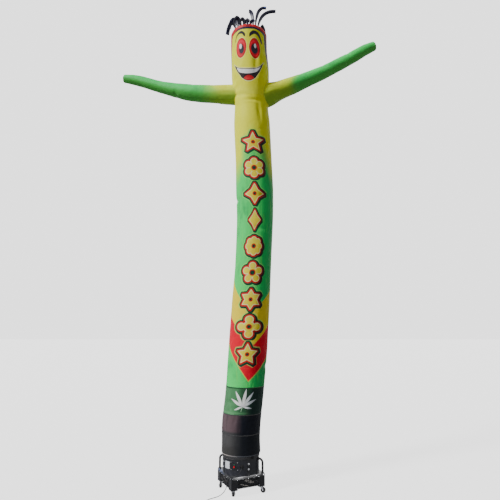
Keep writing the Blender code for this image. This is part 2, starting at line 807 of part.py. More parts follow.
def make_guard(name, turn, blower):
    high = DECK_TOP - DECK_LIP - GAP
    xs = bar_lines(GUARD_WIDTH, GUARD_RIM, GUARD_BAR, GUARD_HOLES[0])
    ys = bar_lines(high - GUARD_BOTTOM, GUARD_RIM, GUARD_BAR, GUARD_HOLES[1])
    guard = lattice(name, xs, ys, GUARD_THICK, "black_paint")
    stand = Matrix.Translation((-GUARD_WIDTH / 2, -(BASE_HALF - SHEET), GUARD_BOTTOM))
    guard.data.transform(stand @ Matrix.Rotation(math.radians(90), 4, "X"))
    place(guard, blower, turn=turn)


def make_handle(name, azimuth, blower):
    """An upright pipe at a corner of the deck, bent over to the drum's wall."""
    out = towards(azimuth)
    foot = DECK_TOP + GAP
    points = [out * HANDLE_REACH + Vector((0, 0, foot))]
    for k in range(7):
        angle = math.radians(90 * k / 6)
        reach = HANDLE_REACH - HANDLE_BEND * (1 - math.cos(angle))
        points.append(out * reach + Vector((0, 0, HANDLE_TOP - HANDLE_BEND * (1 - math.sin(angle)))))
    points.append(out * (DRUM_RADIUS - 0.01) + Vector((0, 0, HANDLE_TOP)))
    handle = pipe(name, points, HANDLE_PIPE_RADIUS, HANDLE_SIDES, "black_paint")
    rows = ((foot, HANDLE_FLANGE_RADIUS), (foot + HANDLE_FLANGE_THICK, HANDLE_FLANGE_RADIUS))
    flange = turned("flange", rows, "black_paint")
    flange.data.transform(Matrix.Translation(out * HANDLE_REACH))
    combine(handle, [flange], "UNION")
    place(combine(handle, [drum_core()], "DIFFERENCE"), blower)


def drum_core():
    """The drum's outline, a little larger, for pieces that stand on its wall."""
    radius = (DRUM_RADIUS + GAP) / math.cos(math.pi / DRUM_SIDES)
    return turned("core", ((0.1, radius), (0.9, radius)), "black_paint", DRUM_SIDES)


def make_drum(blower):
    levels, middle = (DECK_TOP + GAP, DRUM_TOP), Vector()
    outer = [level_ring(middle, DRUM_RADIUS, height, DRUM_SIDES) for height in levels]
    inner = [level_ring(middle, DRUM_RADIUS - DRUM_WALL, height, DRUM_SIDES) for height in levels]
    place(shell("drum", outer, inner, "black_paint"), blower)


def make_controls(blower):
    """The switch's plate, frame and rocker, the blank label and the cord's gland."""
    surface = DRUM_RADIUS + GAP
    panels = (("control_plate", CONTROL_PLATE, "black_paint"), ("blank_label", BLANK_LABEL, "label_white"))
    for name, spec, colour in panels:
        local = dict(spec, azimuth=spec["azimuth"] - BLOWER_TURN)
        place(arc_panel(name, local, surface, 6, colour), blower)
    azimuth = CONTROL_PLATE["azimuth"] - BLOWER_TURN
    base = surface + CONTROL_PLATE["thick"] + GAP
    half_w, half_t = SWITCH["wide"] / 2, SWITCH["tall"] / 2
    low, high = SWITCH["height"] - half_t, SWITCH["height"] + half_t
    near, far = (-half_w, -base - SWITCH["deep"], low), (half_w, -base, high)
    frame = box("switch_frame", near, far, "black_plastic")
    slot_w, slot_t = ROCKER_WIDTH / 2 + 0.0006, ROCKER_HALF + 0.0009
    middle = SWITCH["height"]
    near, far = (-slot_w, -base - 0.02, middle - slot_t), (slot_w, -base + 0.01, middle + slot_t)
    slot = box("slot", near, far, "black_plastic")
    place(combine(frame, [slot], "DIFFERENCE"), blower, turn=azimuth)
    rocker = bmesh.new()
    half = ROCKER_WIDTH / 2
    ends = []
    for x in (-half, half):
        ends.append([rocker.verts.new((x, ROCKER_PIVOT - out, up)) for up, out in ROCKER_SIDE])
    skin(rocker, ends)
    rocker.faces.new(reversed(ends[0]))
    rocker.faces.new(ends[1])
    rocker.transform(Matrix.Rotation(math.radians(-ROCKER_TILT), 4, "X"))
    pivot = towards(azimuth) * (base + ROCKER_PIVOT) + Vector((0, 0, middle))
    place(add_mesh("switch_rocker", rocker, "switch_red"), blower, pivot, azimuth)
    out = towards(GLAND_AZIMUTH - BLOWER_TURN)
    gland = turned("cord_gland", GLAND_PROFILE, "black_plastic", 20, axis=out)
    gland.data.transform(Matrix.Translation(out * surface + Vector((0, 0, GLAND_HEIGHT))))
    place(combine(gland, [drum_core()], "DIFFERENCE"), blower)


# The casters


def fork_mesh():
    """A caster's fork, swivel housing and axle. It swivels about Z and its wheel trails along X."""
    outside = FORK_INSIDE + FORK_SHEET
    hub = Vector((CASTER_TRAIL, 0, WHEEL_RADIUS))
    fork = turned("fork", ((FORK_CROWN, SWIVEL_RADIUS), (FORK_TOP, SWIVEL_RADIUS)), "zinc", 20)
    near, far = (-0.014, -outside, FORK_CROWN - 0.0005), (0.024, outside, FORK_CROWN + 0.0030)
    crown = box("crown", near, far, "zinc")
    cheeks = []
    for side in (-1, 1):
        bm = bmesh.new()
        outline = [(-0.014, FORK_CROWN + 0.001), (0.024, FORK_CROWN + 0.001)]
        for k in range(7):
            angle = math.radians(20 - 220 * k / 6)
            outline.append((hub.x + 0.010 * math.cos(angle), hub.z + 0.010 * math.sin(angle)))
        near, far = side * FORK_INSIDE, side * outside
        rings = [[bm.verts.new((x, y, z)) for x, z in outline] for y in (near, far)]
        skin(bm, rings)
        bm.faces.new(reversed(rings[0]))
        bm.faces.new(rings[1])
        cheeks.append(add_mesh("cheek", bm, "zinc"))
    reach = outside + 0.004
    rows = [(-reach, AXLE_HEAD), (-outside + 0.0004, AXLE_HEAD), (-outside + 0.0004, AXLE_RADIUS)]
    rows += [(-along, radius) for along, radius in reversed(rows)]
    axle = turned("axle", rows, "zinc", 16, axis=Vector((0, 1, 0)))
    axle.data.transform(Matrix.Translation(hub))
    combine(fork, [crown, *cheeks, axle], "UNION")
    return fork


def wheel_mesh():
    """A wheel about its own Y axis, with a flat facet at its foot."""
    rim = WHEEL_RADIUS / math.cos(math.pi / WHEEL_SIDES)
    half = WHEEL_WIDTH / 2
    bm = bmesh.new()
    rings = []
    rows = [(-half, BORE_RADIUS), (-half, rim * 0.93), (-half * 0.72, rim)]
    rows += [(-along, radius) for along, radius in reversed(rows)]
    for along, radius in rows:
        ring = []
        for k in range(WHEEL_SIDES):
            angle = math.tau * (k + 0.5) / WHEEL_SIDES
            ring.append(bm.verts.new((radius * math.sin(angle), along, -radius * math.cos(angle))))
        rings.append(ring)
    skin(bm, rings + rings[:1])
    return add_mesh("wheel", bm, "wheel_rubber")


def make_casters(blower):
    fork_model, wheel_model = fork_mesh(), wheel_mesh()
    half = CASTER_PLATE / 2
    high = POST_BOTTOM - GAP
    for name, (sign_x, sign_y, heading) in CASTERS.items():
        spot = Vector((sign_x * CASTER_INSET, sign_y * CASTER_INSET, 0))
        foot = high - CASTER_PLATE_THICK
        plate = box("caster_plate_" + name, (-half, -half, foot), (half, half, high), "zinc")
        place(plate, blower, spot)
        swivel = bpy.data.objects.new("swivel_" + name, None)
        bpy.context.scene.collection.objects.link(swivel)
        place(swivel, blower, spot, heading)
        for prefix, model, spot_in in (
            ("caster_fork_", fork_model, (0, 0, 0)),
            ("caster_wheel_", wheel_model, (CASTER_TRAIL, 0, WHEEL_RADIUS)),
        ):
            copy = bpy.data.objects.new(prefix + name, model.data)
            bpy.context.scene.collection.objects.link(copy)
            place(copy, swivel, spot_in)
    for model in (fork_model, wheel_model):
        bpy.data.objects.remove(model, do_unlink=True)


# The lead


def make_cord():
    route = [BLOWER_PLACE + Vector(row) for row in CORD_ROUTE]
    points = through(route, CORD_POINTS)
    curve = bpy.data.curves.new("cord_run", "CURVE")
    curve.dimensions = "3D"
    curve.bevel_depth = CORD_RADIUS
    curve.bevel_resolution = 2
    curve.use_fill_caps = True
    spline = curve.splines.new("POLY")
    spline.points.add(len(points) - 1)
    for target, point in zip(spline.points, points):
        target.co = (*point, 1)
    curve.materials.append(finish("cord_rubber"))
    run = bpy.data.objects.new("cord_run", curve)
    bpy.context.scene.collection.objects.link(run)
    section = [
        (COIL_SECTION_RADIUS * math.cos(angle), COIL_MIDDLE + COIL_SECTION_RADIUS * math.sin(angle))
        for angle in (math.tau * k / 8 for k in range(8))
    ]
    bm = bmesh.new()
    rings = []
    for k in range(COIL_SIDES):
        out = towards(360 * k / COIL_SIDES)
        rings.append([bm.verts.new(coil_point(out, w, z)) for w, z in section])
    skin(bm, rings + rings[:1])
    add_mesh("cord_coil", bm, "cord_rubber")


def coil_point(out, beside, height):
    """A place beside the coil's round centre line, in the level direction given."""
    return BLOWER_PLACE + COIL_PLACE + out * (COIL_TURN_RADIUS + beside) + Vector((0, 0, height))


def make_tie():
    """A strap looped round the coil's turns."""
    out, along = towards(TIE_AZIMUTH), towards(TIE_AZIMUTH + 90)
    loops = []
    for radius in (TIE_RADIUS + TIE_THICK, TIE_RADIUS):
        for step in (-0.5, 0.5):
            loop = []
            for k in range(12):
                angle = math.tau * (k + 0.5) / 12
                point = coil_point(out, radius * math.cos(angle), COIL_MIDDLE + radius * math.sin(angle))
                loop.append(point + along * TIE_WIDTH * step)
            loops.append(loop)
    shell("cord_tie", loops[:2], loops[2:], "webbing")


def make_plug():
    """A moulded plug lying beside the coil, its two blades level with one another."""
    out, ahead = towards(PLUG_AZIMUTH), towards(PLUG_AZIMUTH - 90)
    wide, tall = PLUG_ROWS[-1][1:]
    foot = coil_point(out, COIL_SECTION_RADIUS + wide + GAP, tall + GAP) - ahead * PLUG_ROWS[-1][0]
    rings = []
    for along, half_wide, half_tall in PLUG_ROWS:
        ring = []
        for k in range(12):
            c, s = math.cos(math.tau * k / 12), math.sin(math.tau * k / 12)
            side = out * math.copysign(abs(c) ** 0.6, c) * half_wide
            up = Vector((0, 0, math.copysign(abs(s) ** 0.6, s) * half_tall))
            ring.append(foot + ahead * along + side + up)
        rings.append(ring)
    plug = plug_of("plug", rings, "cord_rubber")
    reach = PLUG_ROWS[-1][0]
    blades = []
    for sign in (-1, 1):
        middle = sign * PLUG_BLADE["apart"] / 2
        half_thick, half_tall = PLUG_BLADE["thick"] / 2, PLUG_BLADE["tall"] / 2
        low = (middle - half_thick, reach - 0.004, -half_tall)
        high = (middle + half_thick, reach + PLUG_BLADE["long"], half_tall)
        blade = box("blade", low, high, "zinc")
        turn = Matrix((-out, ahead, (0, 0, 1))).transposed().to_4x4()
        blade.data.transform(Matrix.Translation(foot) @ turn)
        blades.append(blade)
    combine(plug, blades, "UNION")


def main():
    clear_scene()
    blower = bpy.data.objects.new("blower", None)
    bpy.context.scene.collection.objects.link(blower)
    place(blower, None, BLOWER_PLACE, BLOWER_TURN)
    make_deck(blower)
    for name, (sign_x, sign_y, _) in CASTERS.items():
        make_post("corner_post_" + name, sign_x, sign_y, blower)
    for k, name in enumerate(("front_right", "back_right", "back_left", "front_left")):
        make_guard("guard_" + name, 90 * k, blower)
    make_handle("handle_right", 45, blower)
    make_handle("handle_left", -135, blower)
    make_drum(blower)
    make_controls(blower)
    make_casters(blower)
    body = make_cloth_tube()
    make_strap()
    make_crown()
    for name in ARM_ROWS:
        make_arm(name, body)
    for name in HAIR_TUFTS:
        make_tuft(name)
    make_cord()
    make_tie()
    make_plug()


main()
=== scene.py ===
from math import atan2, copysign, cos, degrees, exp, hypot, pi, radians, sin, sqrt, tau

import bmesh
import bpy
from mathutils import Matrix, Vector, noise


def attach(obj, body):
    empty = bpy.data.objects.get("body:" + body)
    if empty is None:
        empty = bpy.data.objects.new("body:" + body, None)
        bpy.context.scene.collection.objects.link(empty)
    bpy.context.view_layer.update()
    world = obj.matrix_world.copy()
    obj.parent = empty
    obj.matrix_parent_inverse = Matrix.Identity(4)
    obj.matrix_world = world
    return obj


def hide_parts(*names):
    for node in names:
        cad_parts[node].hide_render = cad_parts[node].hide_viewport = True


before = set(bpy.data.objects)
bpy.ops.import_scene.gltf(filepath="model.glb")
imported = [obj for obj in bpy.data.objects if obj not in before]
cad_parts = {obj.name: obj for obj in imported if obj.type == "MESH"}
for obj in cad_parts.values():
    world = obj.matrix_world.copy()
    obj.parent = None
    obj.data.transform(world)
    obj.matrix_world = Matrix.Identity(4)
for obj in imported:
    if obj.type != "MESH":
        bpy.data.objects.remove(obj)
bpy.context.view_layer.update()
upward = Vector((0, 0, 1))
print("frame loaded")


# The view, the floor and the lights

view = {"place": (0.046, -5.546, 2.0), "pitch": 10.01, "focal": 428.9, "frame": 500}
studio = {
    "floorColour": (0.30, 0.30, 0.30), "floorReach": 60, "floorGlow": 2.1, "air": 0.15,
    "backdrop": 2.25, "glossShare": 0.60, "keyStrength": 3.9,
    "keyFrom": -58,  # degrees round from straight ahead, towards the left
    "keyHeight": 36, "keySoftness": 9,
}


def addObject(name, data):
    made = bpy.data.objects.new(name, data)
    bpy.context.scene.collection.objects.link(made)
    return made


def addNode(tree, kind, inputs=None, settings=None):
    # A node whose inputs are values or other nodes' sockets
    made = tree.nodes.new(kind)
    for key, value in (settings or {}).items():
        setattr(made, key, value)
    for key, value in (inputs or {}).items():
        if isinstance(value, bpy.types.NodeSocket):
            tree.links.new(value, made.inputs[key])
        else:
            made.inputs[key].default_value = value
    return made


def mathOf(tree, operation, *values):
    return addNode(tree, "ShaderNodeMath", dict(enumerate(values)), {"operation": operation}).outputs[0]


def makeView():
    lens = bpy.data.cameras.new("viewCamera")
    lens.sensor_width = 36
    lens.lens = lens.sensor_width * view["focal"] / view["frame"]
    lens.clip_end = 200
    camera = addObject("viewCamera", lens)
    camera.location = view["place"]
    camera.rotation_euler = (radians(90 + view["pitch"]), 0, 0)
    bpy.context.scene.camera = camera


def makeFloor():
    reach = studio["floorReach"]
    mesh = bpy.data.meshes.new("studioFloor")
    corners = [(-reach, -reach, 0), (reach, -reach, 0), (reach, reach, 0), (-reach, reach, 0)]
    mesh.from_pydata(corners, [], [(0, 1, 2, 3)])
    floor = addObject("studioFloor", mesh)
    pale = bpy.data.materials.new("studioFloor")
    pale.use_nodes = True
    tree = pale.node_tree
    shader = tree.nodes["Principled BSDF"].inputs
    shader["Base Color"].default_value = (*studio["floorColour"], 1)
    shader["Roughness"].default_value = 0.9
    shader["Emission Color"].default_value = (1, 1, 1, 1)
    seen = addNode(tree, "ShaderNodeLightPath").outputs["Is Camera Ray"]
    tree.links.new(mathOf(tree, "MULTIPLY", seen, studio["floorGlow"]), shader["Emission Strength"])
    mesh.materials.append(pale)


def makeLights():
    world = bpy.data.worlds.new("studioAir")
    world.use_nodes = True
    tree = world.node_tree
    air = tree.nodes["Background"].inputs
    path = addNode(tree, "ShaderNodeLightPath").outputs
    gloss = mathOf(tree, "MULTIPLY", path["Is Glossy Ray"], studio["glossShare"])
    seen = mathOf(tree, "MAXIMUM", path["Is Camera Ray"], gloss)
    strength = mathOf(tree, "MULTIPLY_ADD", seen, studio["backdrop"] - studio["air"], studio["air"])
    air["Color"].default_value = (1, 1, 1, 1)
    tree.links.new(strength, air["Strength"])
    bpy.context.scene.world = world
    sun = bpy.data.lights.new("keyLight", "SUN")
    sun.energy = studio["keyStrength"]
    sun.angle = radians(studio["keySoftness"])
    height = radians(studio["keyHeight"])
    aim = towards(studio["keyFrom"]) * cos(height) + upward * sin(height)
    addObject("keyLight", sun).rotation_euler = aim.to_track_quat("Z", "Y").to_euler()


def towards(azimuth):
    # The level direction that an azimuth faces: 0 is -Y, 90 is +X
    angle = radians(azimuth)
    return Vector((sin(angle), -cos(angle), 0))


makeView()
makeFloor()
makeLights()
print("view and lights ready")


# Materials from expressions


class Value:
    # A socket that Python's arithmetic turns into Math nodes
    def __init__(self, paint, socket):
        self.paint, self.socket = paint, socket

    def math(self, operation, *others):
        return self.paint.node("ShaderNodeMath", {"operation": operation}, (self, *others))

    def __add__(self, other):
        return self.math("ADD", other)

    def __mul__(self, other):
        return self.math("MULTIPLY", other)

    def __sub__(self, other):
        return self.math("SUBTRACT", other)

    def __rsub__(self, other):
        return self.paint.node("ShaderNodeMath", {"operation": "SUBTRACT"}, (other, self))

    def __truediv__(self, other):
        return self.math("DIVIDE", other)

    def __rtruediv__(self, other):
        return self.paint.node("ShaderNodeMath", {"operation": "DIVIDE"}, (other, self))

    __radd__, __rmul__ = __add__, __mul__

    def squared(self):
        return self * self

    def most(self, other):
        return self.math("MAXIMUM", other)

    def least(self, other):
        return self.math("MINIMUM", other)

    def size(self):
        return self.math("ABSOLUTE")

    def clipped(self):
        return self.most(0).least(1)

    def rise(self, low, high):
        # 0 below low, 1 above high, smooth between
        inputs = {"Value": self, "From Min": low, "From Max": high}
        return self.paint.node("ShaderNodeMapRange", {"interpolation_type": "SMOOTHSTEP"}, inputs)


class Paint:
    # One Principled material, built from nodes; its colour is laid on coat by coat
    def __init__(self, name, **fixed):
        self.material = bpy.data.materials.new(name)
        self.material.use_nodes = True
        self.tree = self.material.node_tree
        self.shader = self.tree.nodes["Principled BSDF"].inputs
        self.colour = None
        for key, value in {"Coat_Roughness": 0.1, **fixed}.items():
            self.shader[key.replace("_", " ")].default_value = value

    def node(self, kind, settings=None, inputs=(), output=0):
        made = self.tree.nodes.new(kind)
        for key, value in (settings or {}).items():
            if key == "stops":  # of a stepped ramp
                ramp = made.color_ramp
                ramp.interpolation = "CONSTANT"
                while len(ramp.elements) < len(value):
                    ramp.elements.new(1)
                for element, (position, colour) in zip(ramp.elements, value):
                    element.position = position
                    element.color = (*colour, 1)
            elif key == "curve":
                line = made.mapping.curves[0]
                line.points[0].location, line.points[-1].location = value[0], value[-1]
                for point in value[1:-1]:
                    line.points.new(*point)
                made.mapping.update()
            else:
                setattr(made, key, value)
        for key, value in inputs.items() if isinstance(inputs, dict) else enumerate(inputs):
            self.feed(made.inputs[key], value)
        return Value(self, made.outputs[output])

    def feed(self, socket, value):
        if isinstance(value, Value):
            self.tree.links.new(value.socket, socket)
        else:
            socket.default_value = value

    def mix(self, under, over, share):
        inputs = [share] + [tone if isinstance(tone, Value) else (*tone, 1) for tone in (under, over)]
        return self.node("ShaderNodeMix", {"data_type": "RGBA"}, dict(zip((0, 6, 7), inputs)), 2)

    def lay(self, tint, share):
        self.colour = self.mix(self.colour, tint, share)

    def blend(self, under, over, share):
        return self.node("ShaderNodeMix", {"data_type": "FLOAT"}, {0: share, 2: under, 3: over})

    def parts(self, vector):
        split = self.node("ShaderNodeSeparateXYZ", None, (vector,))
        return [Value(self, output) for output in split.socket.node.outputs]

    def place(self):
        return self.node("ShaderNodeTexCoord", None, (), 3)

    def cloth(self):
        return self.node("ShaderNodeUVMap", {"uv_map": "clothMap"})

    def vector(self, x, y, z=0.0):
        return self.node("ShaderNodeCombineXYZ", None, (x, y, z))

    def noise(self, where, scale, detail=3, rough=0.5):
        inputs = {"Vector": where, "Scale": scale, "Detail": detail, "Roughness": rough}
        return self.node("ShaderNodeTexNoise", None, inputs)

    def graph(self, across, points):
        # A smooth line through (across, height) points
        first, last = points[0][0], points[-1][0]
        low, high = min(y for x, y in points), max(y for x, y in points)
        line = [((x - first) / (last - first), (y - low) / (high - low)) for x, y in points]
        share = (across - first) / (last - first)
        height = self.node("ShaderNodeFloatCurve", {"curve": line}, {"Value": share.clipped()})
        return height * (high - low) + low

    def pick(self, share, values, scale=1):
        # One of a row of numbers from 0 to scale, by a share of the row
        stops = [(k / len(values), [value / scale] * 3) for k, value in enumerate(values)]
        return self.node("ShaderNodeValToRGB", {"stops": stops}, {"Fac": share}) * scale

    def bump(self, height, distance, strength=1.0, under=None):
        inputs = {"Strength": strength, "Distance": distance, "Height": height}
        if under is not None:
            inputs["Normal"] = under
        return self.node("ShaderNodeBump", None, inputs)

    def finish(self, roughness, normal=None, **links):
        links.update(Base_Color=self.colour, Roughness=roughness)
        if normal is not None:
            links["Normal"] = normal
        for name, value in links.items():
            self.feed(self.shader[name.replace("_", " ")], value)
        return self.material


def inside(distance, soft=0.0016):
    return distance.rise(soft, -soft)


def plainFinish(name, looks, cloud, tones, gloss, grain, relief):
    # A cloudy finish: tones is its ground, then rows of a tint, the cloud's low and high, and a share
    paint = Paint(name, **looks)
    where = paint.place()
    clouds = paint.noise(where, *cloud)
    paint.colour = tones[0]
    for tint, low, high, share in tones[1:]:
        paint.lay(tint, clouds.rise(low, high) * share)
    return paint.finish(clouds * gloss[0] + gloss[1], paint.bump(paint.noise(where, *grain), *relief))


def cloudFinishes():
    # From rows of fixed looks, cloud, tones, roughness, grain and the grain's depth
    plated = (((0.42, 0.50, 0.72), 0.5, 0.8, 0.6), ((0.16, 0.12, 0.09), 0.74, 0.84, 0.5))
    plain, dull, metal = {}, {"Specular_IOR_Level": 0.3}, {"Metallic": 1}
    glazed = {"Metallic": 0.6, "Coat_Weight": 0.3}
    painted = {"Coat_Weight": 0.08, "Coat_Roughness": 0.25}
    rubber = ((0.006, 0.006, 0.008), ((0.020, 0.020, 0.024), 0.5, 0.8, 1))
    tread = ((0.013, 0.013, 0.014), ((0.075, 0.070, 0.064), 0.52, 0.8, 0.7))
    wire = ((0.012, 0.012, 0.015), ((0.26, 0.26, 0.28), 0.52, 0.70, 0.8))
    pipe = ((0.004, 0.004, 0.006), ((0.030, 0.030, 0.034), 0.55, 0.8, 0.7))
    rows = {
        "leadRubber": (plain, (35, 3), rubber, (0.25, 0.42), (900, 2), (0.0002, 0.5)),
        "tyreRubber": (plain, (70, 4), tread, (0.25, 0.52), (900, 3), (0.0004, 0.6)),
        "guardWire": (glazed, (28, 4, 0.65), wire, (0.3, 0.16), (28, 4, 0.65), (0.002, 0.4)),
        "pipePaint": (painted, (34, 4, 0.6), pipe, (0.3, 0.28), (320, 3), (0.0005, 0.5)),
    }
    for name, tint in (("zincPlate", (0.82, 0.84, 0.90)), ("screwSteel", (0.80, 0.81, 0.84))):
        rows[name] = (metal, (55, 4, 0.6), (tint, *plated), (0.28, 0.12), (700, 2), (0.0002, 0.35))
    for name, tint, gloss in (
        ("blackPlastic", (0.004, 0.004, 0.005), 0.28),
        ("rockerPlastic", (0.82, 0.010, 0.020), 0.18),
        ("hubPlastic", (0.016, 0.016, 0.018), 0.35),
    ):
        shade = tuple(min(1, x * 1.5 + 0.006) for x in tint)
        rows[name] = (dull, (60, 3), (tint, (shade, 0.5, 0.8, 0.6)), (0.2, gloss), (1300, 2), (0.00025, 0.5))
    return {name: plainFinish(name, *row) for name, row in rows.items()}


finishes = cloudFinishes()


# Meshes


def meshFrom(name, points, faces, corners=None):
    # corners are the cloth map's places, one for each face corner
    mesh = bpy.data.meshes.new(name)
    mesh.from_pydata([tuple(p) for p in points], [], faces)
    if corners:
        layer = mesh.uv_layers.new(name="clothMap")
        layer.data.foreach_set("uv", [x for corner in corners for x in corner])
    return mesh


def joinedMesh(name, meshes, merge=0.0):
    # Meshes as one, with points closer than merge made one and faces turned outwards
    bm = bmesh.new()
    for mesh in meshes:
        bm.from_mesh(mesh)
        bpy.data.meshes.remove(mesh)
    if merge:
        bmesh.ops.remove_doubles(bm, verts=bm.verts, dist=merge)
    bmesh.ops.recalc_face_normals(bm, faces=bm.faces)
    whole = bpy.data.meshes.new(name)
    bm.to_mesh(whole)
    bm.free()
    return whole


def sweptMesh(name, rings, closed=False, mapAt=None, merge=0.0):
    # Quads between rings, with capped ends unless the sweep closes on itself
    count = len(rings[0])
    faces, corners = [], []
    for r in range(len(rings) - (0 if closed else 1)):
        s = (r + 1) % len(rings)
        for k in range(count):
            n = (k + 1) % count
            faces.append((r * count + k, r * count + n, s * count + n, s * count + k))
            if mapAt:
                corners += [mapAt(r, k), mapAt(r, k + 1), mapAt(r + 1, k + 1), mapAt(r + 1, k)]
    if not closed:
        last = (len(rings) - 1) * count
        for cap in ([last + k for k in range(count)], [k for k in reversed(range(count))]):
            faces.append(cap)
            if mapAt:
                corners += [mapAt(cap[0] // count, k % count) for k in cap]
    mesh = meshFrom(name + "Sweep", [point for ring in rings for point in ring], faces, corners)
    return joinedMesh(name, [mesh], merge)


def wallMesh(name, outer, inner, mapAt):
    # A closed wall between two stacks of rings. mapAt gives the cloth map's place for a row and a column
    rows = list(range(len(outer))) + list(range(len(inner)))[::-1]
    return sweptMesh(name, outer + inner[::-1], True, lambda r, k: mapAt(rows[r % len(rows)], k))


def ringOf(middle, wide, tall, sides, powers=(1, 1)):
    # An oval of points from its two half axes, squarer as its powers fall
    made = []
    for k in range(sides):
        c, s = cos(tau * k / sides), sin(tau * k / sides)
        x, y = (copysign(abs(value) ** power, value) for value, power in zip((c, s), powers))
        made.append(middle + wide * x + tall * y)
    return made


def latheMesh(name, profile, sides, middle=Vector(), axis=upward):
    # A solid turned about an axis from (radius, distance along it) rows, closed on itself or at its poles
    spin = upward.rotation_difference(axis).to_matrix()
    x, y = spin @ Vector((1, 0, 0)), spin @ Vector((0, 1, 0))
    rings = []
    for radius, along in profile:
        rings.append(ringOf(middle + spin @ (upward * along), x * radius, y * radius, sides))
    closed = profile[0][0] > 0 and profile[-1][0] > 0
    return sweptMesh(name, rings, closed, merge=1e-7)


def smoothed(mesh, under):
    mesh.shade_smooth()
    mesh.set_sharp_from_angle(angle=radians(under))


def fit(piece, slot, *nodes, body="stand"):
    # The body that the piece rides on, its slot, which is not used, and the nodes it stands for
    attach(piece, body)
    if nodes:
        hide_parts(*nodes)
    return piece


def addPiece(mesh, finish, under, slot, *nodes, body="stand"):
    # under is the angle up to which edges look smooth
    mesh.materials.clear()
    mesh.materials.append(finish)
    smoothed(mesh, under)
    return fit(addObject(mesh.name, mesh), slot, *nodes, body=body)


def freeze(piece):
    # The piece's modifiers applied to its mesh
    bpy.context.view_layer.update()
    shaped = piece.evaluated_get(bpy.context.evaluated_depsgraph_get())
    mesh = bpy.data.meshes.new_from_object(shaped)
    piece.modifiers.clear()
    piece.data = mesh


def boxesPiece(name, boxes, place, finish, slot, edge):
    # Bevelled boxes between opposite corners, in the lines of a place
    bm = bmesh.new()
    for low, high in boxes:
        for vert in bmesh.ops.create_cube(bm, size=1)["verts"]:
            vert.co = place(*((a + b) / 2 + c * (b - a) for a, b, c in zip(low, high, vert.co)))
    mesh = bpy.data.meshes.new(name + "Boxes")
    bm.to_mesh(mesh)
    bm.free()
    piece = addPiece(joinedMesh(name, [mesh]), finish, 30, slot)
    step = piece.modifiers.new("edges", "BEVEL")
    step.width, step.segments = edge
    freeze(piece)
    piece.data.shade_smooth()
    return piece


# Geometry Nodes: a part repeated at points, and stitches along a line


def newTree(name, inputs):
    tree = bpy.data.node_groups.new(name, "GeometryNodeTree")
    inputs = [("Geometry", "Geometry"), ("Part", "Object"), ("Finish", "Material")] + inputs
    for label, kind in inputs:
        tree.interface.new_socket(label, in_out="INPUT", socket_type="NodeSocket" + kind)
    tree.interface.new_socket("Geometry", in_out="OUTPUT", socket_type="NodeSocketGeometry")
    return tree, tree.nodes.new("NodeGroupInput").outputs


def closeTree(tree, given, points, turns):
    # The part at each point, made real and given its finish
    part = addNode(tree, "GeometryNodeObjectInfo", {"Object": given["Part"]}).outputs["Geometry"]
    inputs = {"Points": points, "Instance": part, "Rotation": turns}
    copies = addNode(tree, "GeometryNodeInstanceOnPoints", inputs).outputs[0]
    real = addNode(tree, "GeometryNodeRealizeInstances", {0: copies}).outputs[0]
    done = addNode(tree, "GeometryNodeSetMaterial", {"Geometry": real, "Material": given["Finish"]})
    addNode(tree, "NodeGroupOutput", {0: done.outputs[0]})
    return tree


def repeatTree():
    # Points carry two vectors: "aim" for the part's Z and "along" for its X
    tree, given = newTree("repeatPart", [])
    turns = {}
    for label, axis, pivot in (("aim", "Z", "AUTO"), ("along", "X", "Z")):
        settings = {"data_type": "FLOAT_VECTOR"}
        line = addNode(tree, "GeometryNodeInputNamedAttribute", {"Name": label}, settings)
        turns["Vector"] = line.outputs["Attribute"]
        settings = {"axis": axis, "pivot_axis": pivot}
        turns["Rotation"] = addNode(tree, "FunctionNodeAlignRotationToVector", turns, settings).outputs[0]
    return closeTree(tree, given, given["Geometry"], turns["Rotation"])


def stitchTree():
    # Stitches of one pitch along an edge line, each a small part turned along it
    tree, given = newTree("stitchLine", [("Pitch", "Float")])
    line = addNode(tree, "GeometryNodeMeshToCurve", {0: given["Geometry"]}).outputs[0]
    spaced = addNode(tree, "GeometryNodeResampleCurve", {"Curve": line})
    if "Mode" in spaced.inputs:
        spaced.inputs["Mode"].default_value = "Length"
    else:
        spaced.mode = "LENGTH"
    tree.links.new(given["Pitch"], spaced.inputs["Length"])
    tangent = tree.nodes.new("GeometryNodeInputTangent").outputs[0]
    turn = addNode(tree, "FunctionNodeAlignRotationToVector", {"Vector": tangent}, {"axis": "X"})
    return closeTree(tree, given, spaced.outputs[0], turn.outputs[0])


trees = {"repeat": repeatTree(), "stitch": stitchTree()}


def runTree(mesh, partMesh, tree, slot, body="stand", **values):
    # The tree's result as a plain mesh
    piece, part = addObject(mesh.name, mesh), addObject(mesh.name + "_part", partMesh)
    values["Part"] = part
    step = piece.modifiers.new(tree, "NODES")
    step.node_group = trees[tree]
    for item in trees[tree].interface.items_tree:
        if item.in_out == "INPUT" and item.name in values:
            step[item.identifier] = values[item.name]
    freeze(piece)
    smoothed(piece.data, 35)
    bpy.data.objects.remove(part, do_unlink=True)
    return fit(piece, slot, body=body)


def repeatPart(name, places, partMesh, finish, slot, body="stand"):
    # places holds (point, aim, along) rows
    mesh = bpy.data.meshes.new(name)
    mesh.from_pydata([tuple(place) for place, aim, along in places], [], [])
    for label, column in (("aim", 1), ("along", 2)):
        layer = mesh.attributes.new(label, "FLOAT_VECTOR", "POINT")
        layer.data.foreach_set("vector", [x for row in places for x in row[column]])
    return runTree(mesh, partMesh, "repeat", slot, body, Finish=finish)


def beadMesh(name, radius, size):
    # A small ball drawn out to a size
    bm = bmesh.new()
    bmesh.ops.create_icosphere(bm, subdivisions=1, radius=radius)
    bmesh.ops.scale(bm, vec=size, verts=bm.verts)
    mesh = bpy.data.meshes.new(name)
    bm.to_mesh(mesh)
    bm.free()
    return mesh


